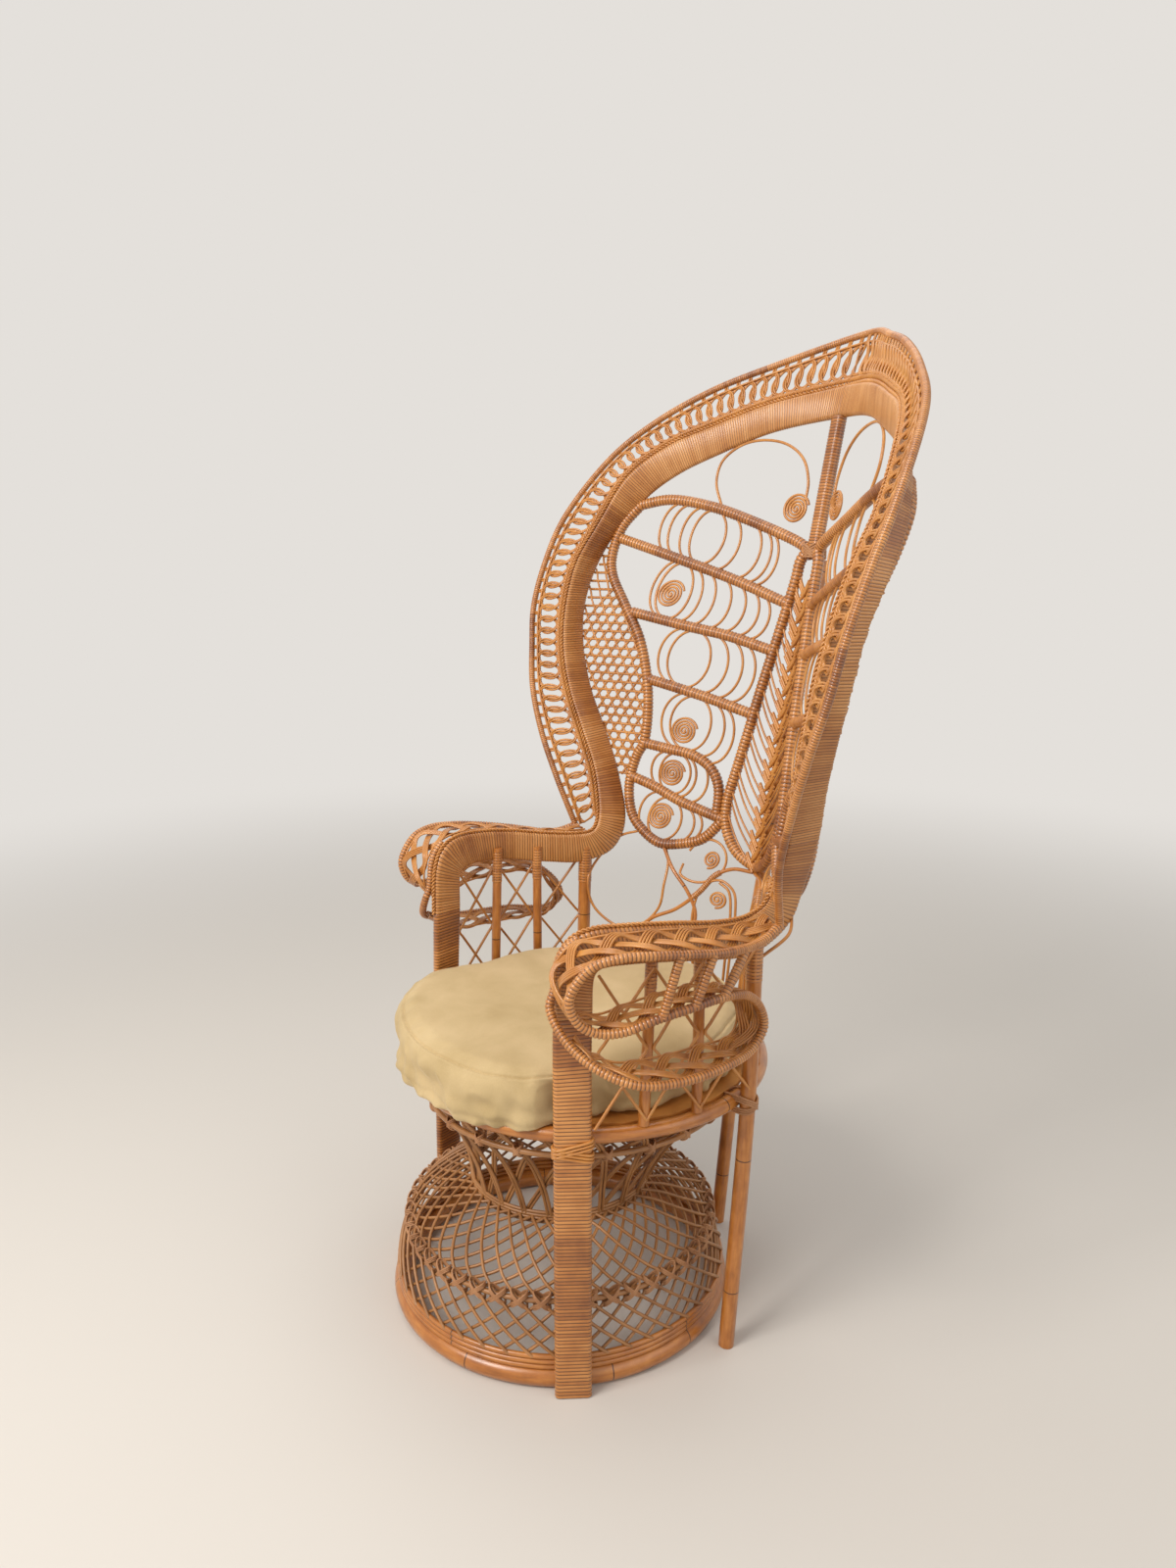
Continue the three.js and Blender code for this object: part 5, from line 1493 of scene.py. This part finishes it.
@dataclass
class Panel:
    """The open back panel: ribs, leaf with its braid, nested arcs, discs and caned lenses."""

    shop: Workshop
    rib_wrap: float = 9.8 * MM
    rib_pitch: float = 6.4 * MM
    rib_bulge: float = 1.5 * MM
    knot_cane: float = 2.1 * MM
    knot_reach: float = 19 * MM
    knot_depth: float = 5 * MM
    knot_spacing: float = 4.4 * MM
    knot_slants: Sequence = ((9 * MM, -2 * MM), (-9 * MM, -2 * MM), (0.0, -7 * MM))
    post_lap: float = 2 * MM
    post_pitch: float = 4.8 * MM
    braid_rows: int = 24
    braid_top: float = 0.555
    braid_fall: float = 0.49
    braid_lifts: tuple = (-1.0 * MM, 2.5 * MM)
    braid_cane: float = 1.9 * MM
    chevron_cane: float = 3.0 * MM
    chevron_lift: float = 3.4 * MM
    chevron_apart: float = 0.0035
    lens_cane: float = 2.3 * MM
    lens_spacing: float = 15 * MM
    lens_wave: float = 0.6 * MM
    lens_margins: tuple = (0.008, 0.004)
    lens_rise: tuple = (0.095, 0.6)
    arc_cane: float = 2.3 * MM
    disc_cane: float = 2.35 * MM
    disc_pitch: float = 5.3 * MM
    disc_radius: float = 26 * MM
    low_disc_radius: float = 17 * MM
    low_ring_radius: float = 36 * MM
    stem: float = 3.4 * MM
    stem_wrap: float = 5.6 * MM
    stem_wrap_pitch: float = 3.6 * MM
    stem_lift: float = 1 * MM

    def build(self) -> None:
        """Makes the whole panel."""
        left, right = (on_panel(TOP_RIB_SHARES, side) for side in Side)
        top_rib = self.wrap([np.vstack([right[::-1], left[1:]])])
        self.shop.finish("top_rib_wrap", [top_rib], Slot.WRAP, ["top_rib"])
        shares = [LEAF_TOP_SHARE, *LEAF_SHARES]
        leaf = self.wrap([np.vstack([
            on_panel(shares, Side.RIGHT), on_panel([LEAF_BOTTOM_SHARE], Side.LEFT),
            on_panel(shares[::-1], Side.LEFT),
        ])])
        self.shop.finish("leaf_pole_wrap", [leaf, self.knot()], Slot.WRAP, ["leaf_pole"])
        for side in Side:
            poles = {"frame_pole": [FRAME_POLE_SHARES]}
            poles.update({name: [shares] for name, shares in RIB_SHARES.items()})
            poles["forked_rib"] = [UPPER_FORK_SHARES, LOWER_FORK_SHARES]
            for name, lines in poles.items():
                made = self.wrap([on_panel(shares, side) for shares in lines])
                self.shop.finish(f"{name}_wrap_{side.word}", [made], Slot.WRAP, [f"{name}_{side.word}"])
        self.build_spine()
        self.build_braid()
        for side in Side:
            self.build_lens(side)
            self.build_crown(side)
            self.build_arcs(side)
            self.build_low_scrolls(side)

    def wrap(self, lines: Sequence[np.ndarray]) -> bpy.types.Mesh:
        """Makes wrapped poles of the panel's own thickness along smooth lines through points."""
        smooth = [Line(points).dense() for points in lines]
        return self.shop.wrapped(smooth, self.rib_wrap, self.rib_pitch, self.rib_bulge)

    def knot(self) -> bpy.types.Mesh:
        """Makes the star-shaped binding where the top ribs, the post and the leaf's poles meet."""
        centre = on_panel([KNOT_SHARE], Side.LEFT)[0]
        wide = np.array([self.knot_reach, 0.0, 0.0])
        deep = np.array([0.0, S.rib_pole + self.knot_depth, 0.0])
        lines = []
        for slant, shift in self.knot_slants:
            lines += binding(centre + UP * shift, wide, deep, UP, slant, 3, self.knot_spacing, 0.6)
        return self.shop.cane(lines, self.knot_cane, "lashing", FINE_STEP, closed=True)

    def build_spine(self) -> None:
        """Makes the wrapped centre post and the bare pole behind the leaf."""
        low = on_panel([TOP_RIB_SHARES[0]], Side.LEFT)[0, 2] - self.post_lap
        high = REAR_EDGE[-2, 2] + self.post_lap
        first, second = (
            Line([(x * S.post_width / 2, spine_at(z), z) for z in (low, high)]) for x in (-1, 1)
        )
        post = Bands(self.shop).mesh(first, second, 0, 1, S.post_depth, self.post_pitch, "wrap")
        self.shop.finish("centre_post_wrap", [post], Slot.WRAP, ["centre_post"])
        bottom = on_panel([LEAF_BOTTOM_SHARE], Side.LEFT)[0]
        behind = S.rib_pole + S.rear_pole + 2 * S.clearance
        spine = Line([
            (0, S.spine_foot, 0), (0, S.seat_offset + S.rear_pole_reach, S.seat_ring_height),
            (0, bottom[1] + behind, bottom[2]), (0, spine_at(S.leaf_top) + behind, S.leaf_top),
        ])
        pole = set_on_floor(self.shop.cane([spine.dense()], S.rear_pole, "pole", POLE_STEP, POLE_SIDES))
        self.shop.finish("spine_pole_bare", [pole], Slot.POLE, ["spine_pole"])

    def build_braid(self) -> None:
        """Makes the herringbone of canes inside the leaf."""
        edge = Line([(x, 0, z) for x, z in LEAF_SHARES]).at(np.linspace(0, 1, 200))
        thin, thick = [], []
        for k in range(self.braid_rows):
            top = self.braid_top - self.braid_fall * k / (self.braid_rows - 1)
            width = float(np.interp(-top, -edge[:, 2], edge[:, 0]))
            drop = 0.03 + 0.5 * width
            low = top - drop
            reach = min(0.036, 0.6 * width)
            for side in Side:
                lift = self.braid_lifts[(k + (side is Side.LEFT)) % 2]
                shares = [(width, top), (width * 0.6, top - drop * 0.55), (0.016, low)]
                thin.append(Line(on_panel(shares, side, lift)).dense())
                for beside in (-self.chevron_apart, self.chevron_apart):
                    chevron = [
                        (reach, low + 0.026 + beside), (reach * 0.5, low + 0.012 + beside),
                        (-0.008, low - 0.004 + beside),
                    ]
                    thick.append(Line(on_panel(chevron, side, lift + self.chevron_lift)).dense())
        fine = self.shop.cane(thin, self.braid_cane, "weave", ARC_STEP)
        heavy = self.shop.cane(thick, self.chevron_cane, "weave", 4 * MM)
        self.shop.finish("leaf_braid", [fine, heavy], Slot.WEAVE, ["spine_braid"])

    def build_lens(self, side: Side) -> None:
        """Makes the six-way caning between the frame pole and the band."""
        frame_line = Line([(x, 0, z) for x, z in FRAME_POLE_SHARES]).at(np.linspace(0, 1, 300))
        keep = frame_line[(frame_line[:, 2] < 0.66) & (frame_line[:, 2] > 0.08)][::-1]
        run = np.arange(-0.6, 1.0, FINE_STEP)
        lines = []
        for angle in (0, 60, 120):
            way = np.array([math.cos(math.radians(angle)), math.sin(math.radians(angle))])
            normal = np.array([-way[1], way[0]])
            # The level canes lie half a step off the others' crossings, which leaves six-sided holes
            for offset in (np.arange(-34, 60) + (0 if angle else 0.5)) * self.lens_spacing:
                flat = normal * offset + way * run[:, None]
                x, z = flat[:, 0] / S.back_half_width, flat[:, 1] / S.back_rise
                height = S.arm_height + z * S.back_rise
                inner = np.interp(z, keep[:, 2], keep[:, 0])
                outer = np.interp(height, SIDE_PLACES[:, 2], SIDE_PLACES[:, 0]) / S.back_half_width
                inside = (x > inner + self.lens_margins[0]) & (x < outer - self.lens_margins[1])
                inside &= (z > self.lens_rise[0]) & (z < self.lens_rise[1])
                cuts = np.flatnonzero(np.diff(inside.astype(int)))
                for part in np.split(np.arange(len(run)), cuts + 1):
                    if inside[part[0]] and len(part) > 2:
                        points = on_panel(np.column_stack([x[part], z[part]]), side)
                        points[:, 1] += self.lens_wave * np.sin(run[part] / self.lens_spacing * math.pi)
                        lines.append(points)
        canes = self.shop.cane(lines, self.lens_cane, "weave", sides=4)
        self.shop.finish(f"lens_caning_{side.word}", [canes], Slot.WEAVE, [f"cane_panel_{side.word}"])

    def spiral(self, centre: Sequence, radius: float, side: Side) -> np.ndarray:
        """A tight flat spiral, from its middle out.

        Args:
            centre: Its middle in the front view.
            radius: Its outer radius.
            side: The side of the chair.

        Returns:
            The middle line.
        """
        turns = (radius - self.disc_cane) / self.disc_pitch
        t = np.linspace(0.12, turns, int(22 * turns))
        return on_panel(self.places_round(centre, t * self.disc_pitch, 2 * math.pi * t), side)

    def places_round(self, centre: Sequence, radius: np.ndarray | float, turn: np.ndarray) -> np.ndarray:
        """Places round a point of the front view, as shares, from real radii and angles."""
        x = centre[0] + radius * np.cos(turn) / S.back_half_width
        z = centre[1] + radius * np.sin(turn) / S.back_rise
        return np.column_stack([x, z])

    def discs(self, centres: Sequence, radius: float, side: Side) -> bpy.types.Mesh:
        """Makes small discs of cane, wound in flat spirals."""
        spirals = [self.spiral(centre, radius, side) for centre in centres]
        return self.shop.cane(spirals, self.disc_cane, "weave", FINE_STEP)

    def build_crown(self, side: Side) -> None:
        """Makes the arc and the disc over the top rib."""
        arc = self.shop.cane([Line(on_panel(CROWN_ARC_SHARES, side)).dense()], S.scroll_cane, "weave", sides=7)
        disc = self.discs([CROWN_DISC_SHARE], self.disc_radius, side)
        self.shop.finish(f"crown_arc_{side.word}", [arc, disc], Slot.WRAP, [f"crown_scroll_{side.word}"])

    def row_lines(self) -> list:
        """The ribs' front views as rows of x and z shares, from the top down."""
        ribs = [TOP_RIB_SHARES, *RIB_SHARES.values(), UPPER_FORK_SHARES, LOWER_FORK_SHARES, FRAME_POLE_SHARES[9:]]
        return [Line([(x, 0, z) for x, z in sorted(shares)]).at(np.linspace(0, 1, 100)) for shares in ribs]

    def arc(self, high: np.ndarray, low: np.ndarray, at: float, wide: float, way: int) -> np.ndarray:
        """One C-shaped arc or whole ring between two ribs, as shares in the front view.

        Args:
            high: The upper rib.
            low: The lower rib.
            at: Its middle, as a share across.
            wide: Its half width as a share.
            way: 1 where it bulges outward, -1 where it bulges inward and 0 for a whole ring.

        Returns:
            Rows of x and z shares.
        """
        phi = np.linspace(math.pi / 2, -math.pi / 2, 24) if way else np.linspace(0, 2 * math.pi, 40)
        x = at + (way or 1) * wide * np.cos(phi)
        top, bottom = (np.interp(at, rib[:, 0], rib[:, 2]) for rib in (high, low))
        half = (top - bottom) / 2 - 0.6 * S.rib_pole / S.back_rise
        return np.column_stack([x, (top + bottom) / 2 + half * np.sin(phi)])

    def build_arcs(self, side: Side) -> None:
        """Makes the nested arcs, rings and small discs between the ribs."""
        ribs = self.row_lines()
        lines = []
        for high, low, (outward, ring, inward, wide) in zip(ribs[:-1], ribs[1:], ARC_ROWS):
            flat = [self.arc(high, low, at - wide, wide, 1) for at in outward]
            flat += [self.arc(high, low, at + wide, wide, -1) for at in inward]
            flat.append(self.arc(high, low, ring, wide, 0))
            lines += [on_panel(shares, side) for shares in flat]
        arcs = self.shop.cane(lines, self.arc_cane, "weave", ARC_STEP)
        made = self.discs(DISC_SHARES, self.disc_radius, side)
        self.shop.finish(f"nested_arcs_{side.word}", [arcs, made], Slot.WEAVE)

    def on_ring(self, share: float, side: Side) -> np.ndarray:
        """A place on the rear of the seat ring, at a share of the half width across."""
        x = share * S.back_half_width
        return np.array([side.value * x, S.seat_offset + math.sqrt(S.seat_radius**2 - x**2), S.seat_height - 4 * MM])

    def build_low_scrolls(self, side: Side) -> None:
        """Makes the stems, rings and discs below the leaf."""
        outer, inner = (on_panel(shares, side, self.stem_lift) for shares in STEM_SHARES)
        big, arch, branch = (on_panel(shares, side) for shares in BOW_SHARES)
        feet = {name: self.on_ring(share, side) for name, share in SCROLL_FEET_SHARES.items()}
        stems = [np.vstack([outer, feet["outer"]]), np.vstack([feet["inner"], inner])]
        thick = self.shop.cane([Line(points).dense() for points in stems], self.stem, "pole", sides=8)
        bows = [
            big, np.vstack([feet["arch_start"], arch, feet["arch_end"]]), np.vstack([branch, feet["branch"]]),
        ]
        turn = np.linspace(0.1 * math.pi, 1.9 * math.pi, 40)
        ring = on_panel(self.places_round(LOW_RING_SHARE, self.low_ring_radius, turn), side)
        thin = self.shop.cane([*(Line(points).dense() for points in bows), ring], S.scroll_cane, "weave", ARC_STEP)
        tied = self.shop.wrapped([Line(inner).dense(0.34, 0.66)], self.stem_wrap, self.stem_wrap_pitch)
        parts = [thick, thin, tied, self.discs(LOW_DISC_SHARES, self.low_disc_radius, side)]
        self.shop.finish(f"lower_scrolls_{side.word}", parts, Slot.WRAP, [f"low_scrolls_{side.word}"])


@dataclass
class Cushion:
    """The round loose velvet cushion with a boxed side."""

    shop: Workshop
    voxel: float = 5.5 * MM
    pressure: float = 2.2
    frames: int = 20
    most_move: float = 4.5 * MM
    shrink: float = 3 * MM
    fold_depth: float = 5 * MM
    fold_growth: float = 15 * MM
    hem_height: float = 0.13
    hem_depth: float = 3.0 * MM
    hollow: float = 0.9 * MM
    seam_depth: float = 10 * MM
    groove: float = 3.4 * MM
    groove_width: float = 2.4 * MM
    lip: float = 1.4 * MM
    lip_width: float = 3 * MM
    lip_offset: float = 6 * MM
    sectors: int = 120

    def build(self) -> None:
        """Makes the cushion: remesh, inflate, then draw its seams and folds."""
        source = frame["nodes"]["cushion"].data
        joined = bmesh.new()
        joined.from_mesh(source)
        bmesh.ops.remove_doubles(joined, verts=joined.verts, dist=1e-5)
        mesh = bpy.data.meshes.new("round_cushion")
        joined.to_mesh(mesh)
        joined.free()
        piece = bpy.data.objects.new("round_cushion", mesh)
        bpy.context.scene.collection.objects.link(piece)
        self.apply(piece, "REMESH", mode="VOXEL", voxel_size=self.voxel, use_smooth_shade=True)
        rest = self.points(piece)
        normals = np.array([v.normal for v in piece.data.vertices])
        self.place(piece, rest - normals * self.shrink)
        self.inflate(piece)
        moved = self.points(piece) - rest
        far = np.linalg.norm(moved, axis=1, keepdims=True)
        self.place(piece, rest + moved * np.minimum(1, self.most_move / np.maximum(far, 1e-9)))
        self.fold(piece)
        self.apply(piece, "SUBSURF", levels=1, render_levels=1)
        self.sew(piece)
        piece.data.shade_smooth()
        piece.data.materials.clear()
        piece.data.materials.append(self.shop.materials["velvet"])
        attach(piece, "root")
        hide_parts("cushion")
        LOG.info("round_cushion: %d faces", len(piece.data.polygons))

    def points(self, piece: bpy.types.Object) -> np.ndarray:
        """The piece's vertices as rows."""
        flat = np.zeros(len(piece.data.vertices) * 3)
        piece.data.vertices.foreach_get("co", flat)
        return flat.reshape(-1, 3)

    def place(self, piece: bpy.types.Object, points: np.ndarray) -> None:
        """Moves the piece's vertices to the rows given."""
        piece.data.vertices.foreach_set("co", points.ravel())
        piece.data.update()

    def apply(self, piece: bpy.types.Object, kind: str, **settings) -> None:
        """Adds a modifier and makes its result the piece's mesh."""
        modifier = piece.modifiers.new("step", kind)
        for key, value in settings.items():
            setattr(modifier, key, value)
        self.keep_result(piece)

    def keep_result(self, piece: bpy.types.Object) -> None:
        """Makes the modifiers' result the piece's mesh, and removes them."""
        graph = bpy.context.evaluated_depsgraph_get()
        made = bpy.data.meshes.new_from_object(piece.evaluated_get(graph), depsgraph=graph)
        piece.modifiers.clear()
        piece.data = made

    def inflate(self, piece: bpy.types.Object) -> None:
        """Runs the cloth simulation and keeps its last frame."""
        modifier = piece.modifiers.new("cloth", "CLOTH")
        cloth = modifier.settings
        cloth.use_pressure = True
        cloth.uniform_pressure_force = self.pressure
        cloth.effector_weights.gravity = 0
        cloth.quality = 4
        modifier.point_cache.frame_start = 1
        modifier.point_cache.frame_end = self.frames
        for number in range(1, self.frames + 1):
            bpy.context.scene.frame_set(number)
        self.keep_result(piece)
        bpy.context.scene.frame_set(1)

    def around(self, points: np.ndarray, low: float, high: float) -> tuple[np.ndarray, np.ndarray, np.ndarray]:
        """Finds where points lie round the cushion.

        Args:
            points: The cushion's vertices.
            low: How deep below the crown the rows start from which the side's reach is taken.
            high: How deep below it they end.

        Returns:
            For each point its distance from the middle, its angle, and how far the side reaches there.
        """
        flat = points[:, :2] - (0.0, S.seat_offset + ORIGIN_Y)
        radius, angle = np.linalg.norm(flat, axis=1), np.arctan2(flat[:, 1], flat[:, 0])
        depth = points[:, 2].max() - points[:, 2]
        degrees, sector = (np.degrees(angle) + 360) % 360, 360 / self.sectors
        index = (degrees / sector).astype(int) % self.sectors
        widest = np.zeros(self.sectors)
        beside = (depth < low) & (depth > high)
        np.maximum.at(widest, index[beside], radius[beside])
        even = sum(np.roll(widest, shift) for shift in (-2, -1, 0, 1, 2)) / 5
        middles = np.arange(-1, self.sectors + 1) * sector + sector / 2
        reach = np.interp(degrees, middles, np.r_[even[-1], even, even[0]])
        return radius, angle, reach

    def fold(self, piece: bpy.types.Object) -> None:
        """Draws the loose folds of the side, the hem and the crown's soft hollows."""
        points = self.points(piece)
        low, high = points[:, 2].min(), points[:, 2].max()
        radius, angle, reach = self.around(points, high - low, 0.0)
        height = (points[:, 2] - low) / (high - low)
        edge = radius / reach
        side = np.clip((edge - 0.9) / 0.08, 0, 1) * np.clip((0.84 - height) / 0.14, 0, 1)
        # Broad folds, sharper creases between them, and small puckers
        folds = np.array([
            noise.noise(Vector((4 * math.cos(a), 4 * math.sin(a), 1.4 * h)))
            + 0.9 * (0.25 - abs(noise.noise(Vector((7 * math.cos(a) + 1.2 * h, 7 * math.sin(a), 2.0 * h + 9)))))
            + 0.3 * noise.noise(Vector((15 * math.cos(a), 15 * math.sin(a), 2.4 * h + 5)))
            for a, h in zip(angle, height)
        ])
        push = side * folds * (self.fold_depth + self.fold_growth * (1 - height))
        hem = np.exp(-(((height - self.hem_height) / 0.03) ** 2)) * np.clip((edge - 0.86) / 0.06, 0, 1)
        push -= self.hem_depth * hem
        outward = (points[:, :2] - (0.0, S.seat_offset + ORIGIN_Y)) / np.maximum(radius, 1e-6)[:, None]
        points[:, :2] += outward * push[:, None]
        crown = np.clip((1 - edge) / 0.3, 0, 1) * (height > 0.7)
        hollows = np.array([noise.noise(Vector((p[0] * 8, p[1] * 8, 4.0))) for p in points])
        points[:, 2] += crown * hollows * self.hollow
        self.place(piece, points)

    def sew(self, piece: bpy.types.Object) -> None:
        """Draws the seam round the top edge: a narrow groove with the side's cloth folded below it."""
        points = self.points(piece)
        normals = np.array([v.normal for v in piece.data.vertices])
        radius, _, reach = self.around(points, 3 * self.seam_depth, self.seam_depth)
        depth = points[:, 2].max() - points[:, 2]
        # Measured over the edge, from the side below zero to the top above it
        over = 0.4 * self.seam_depth - depth - (radius - reach)
        near = (radius > 0.8 * reach) & (depth < 4 * self.seam_depth)
        groove = np.exp(-((over / self.groove_width) ** 2))
        lip = np.exp(-(((over + self.lip_offset) / self.lip_width) ** 2))
        push = near * (self.lip * lip - self.groove * groove)
        self.place(piece, points + normals * push[:, None])


def dress_deck(shop: Workshop) -> None:
    """Gives the woven seat under the cushion its cane."""
    node = frame["nodes"]["seat_deck"]
    node.data.materials.clear()
    node.data.materials.append(shop.materials["weave"])


@dataclass
class Studio:
    """The plain pale floor, the plain soft light, and the camera at the photograph's angle."""

    ground: str = "#E4E0DB"
    paper: str = "#D2CDC6"
    soft_light: str = "#FFFCF8"
    soft_strength: float = 0.5
    floor_size: float = 60.0
    floor_drop: float = 0.5 * MM
    fade_start: float = 1.2
    fade_end: float = 4.2
    # Each lamp's name, place, size, power and colour
    lamps: Sequence = (
        ("key", (0.6, -2.6, 2.6), 1.4, 90.0, "#FFFAF4"),
        ("fill", (2.8, 1.2, 2.0), 2.6, 22.0, "#FFFDFA"),
        ("top", (-0.6, 0.2, 3.4), 2.4, 26.0, "#FFFFFF"),
    )
    lamp_aim: tuple = (0, 0, 0.7)
    lens: float = 25.0
    eye: tuple = (1.450, -0.672, 1.150)
    gaze: tuple = (-0.8765, 0.4363, -0.2036)

    def build(self) -> None:
        """Makes the floor, the light and the camera."""
        bpy.context.scene.view_settings.view_transform = "Standard"
        self.build_floor()
        self.build_world()
        for lamp in self.lamps:
            self.build_lamp(*lamp)
        self.build_camera()

    def seen(self, tree: bpy.types.NodeTree) -> bpy.types.NodeSocket:
        """The share of a ray that shows the background itself: 1 for the camera's and for reflections."""
        rays = add_node(tree, "ShaderNodeLightPath").outputs
        return add_node(
            tree, "ShaderNodeMath", {0: rays["Is Camera Ray"], 1: rays["Is Glossy Ray"]}, operation="MAXIMUM"
        ).outputs[0]

    def build_floor(self) -> None:
        """Makes the floor of matt paper, which runs out into the background, so that no horizon shows."""
        bpy.ops.mesh.primitive_plane_add(size=self.floor_size, location=(0, 0, -self.floor_drop))
        floor = bpy.context.object
        floor.name = "studio_floor"
        paper = bpy.data.materials.new("matt_floor_paper")
        tree = empty_tree(paper)
        sheet = add_node(tree, "ShaderNodeBsdfPrincipled", {"Base Color": linear(self.paper), "Roughness": 0.9})
        glow = add_node(tree, "ShaderNodeEmission", {"Color": linear(self.ground), "Strength": 1.0})
        place = add_node(tree, "ShaderNodeTexCoord").outputs["Object"]
        far = add_node(tree, "ShaderNodeVectorMath", {0: place}, operation="LENGTH")
        fade = add_node(
            tree, "ShaderNodeMapRange",
            {"Value": far.outputs["Value"], "From Min": self.fade_start, "From Max": self.fade_end},
            interpolation_type="SMOOTHSTEP",
        )
        share = add_node(tree, "ShaderNodeMath", {0: fade.outputs[0], 1: self.seen(tree)}, operation="MULTIPLY")
        both = add_node(tree, "ShaderNodeMixShader", {0: share.outputs[0], 1: sheet.outputs[0], 2: glow.outputs[0]})
        add_node(tree, "ShaderNodeOutputMaterial", {"Surface": both.outputs[0]})
        floor.data.materials.append(paper)

    def build_world(self) -> None:
        """Makes the soft light from all sides and the pale background."""
        world = bpy.data.worlds.new("studio")
        bpy.context.scene.world = world
        tree = empty_tree(world)
        soft = add_node(
            tree, "ShaderNodeBackground", {"Color": linear(self.soft_light), "Strength": self.soft_strength}
        )
        pale = add_node(tree, "ShaderNodeBackground", {"Color": linear(self.ground), "Strength": 1.0})
        mixed = add_node(tree, "ShaderNodeMixShader", {0: self.seen(tree), 1: soft.outputs[0], 2: pale.outputs[0]})
        add_node(tree, "ShaderNodeOutputWorld", {"Surface": mixed.outputs[0]})

    def build_lamp(self, name: str, place: tuple, size: float, power: float, colour: str) -> None:
        """Makes one square lamp that shines at the chair.

        Args:
            name: The lamp's name.
            place: Where it hangs.
            size: The length of its sides.
            power: Its power in watts.
            colour: Its colour as an sRGB hex code.
        """
        light = bpy.data.lights.new(f"{name}_light", "AREA")
        light.size = size
        light.energy = power
        light.color = linear(colour)[:3]
        lamp = bpy.data.objects.new(f"{name}_light", light)
        lamp.location = place
        lamp.rotation_euler = (Vector(self.lamp_aim) - Vector(place)).to_track_quat("-Z", "Y").to_euler()
        bpy.context.scene.collection.objects.link(lamp)

    def build_camera(self) -> None:
        """Makes the camera where the photograph was taken from."""
        data = bpy.data.cameras.new("camera")
        data.sensor_width = 36.0
        data.lens = self.lens
        data.clip_start = 0.01
        camera = bpy.data.objects.new("camera", data)
        camera.location = (self.eye[0], self.eye[1] + ORIGIN_Y, self.eye[2])
        camera.rotation_euler = Vector(self.gaze).to_track_quat("-Z", "Y").to_euler()
        bpy.context.scene.collection.objects.link(camera)
        bpy.context.scene.camera = camera


def main() -> None:
    """Builds the chair's parts in order."""
    logging.basicConfig(level=logging.INFO, format="%(message)s")
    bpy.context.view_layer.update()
    Studio().build()
    shop = Workshop()
    for assembly in (Base, Bands, Rim, Arms, Panel):
        assembly(shop).build()
    dress_deck(shop)
    Cushion(shop).build()


if __name__ == "__main__":
    main()
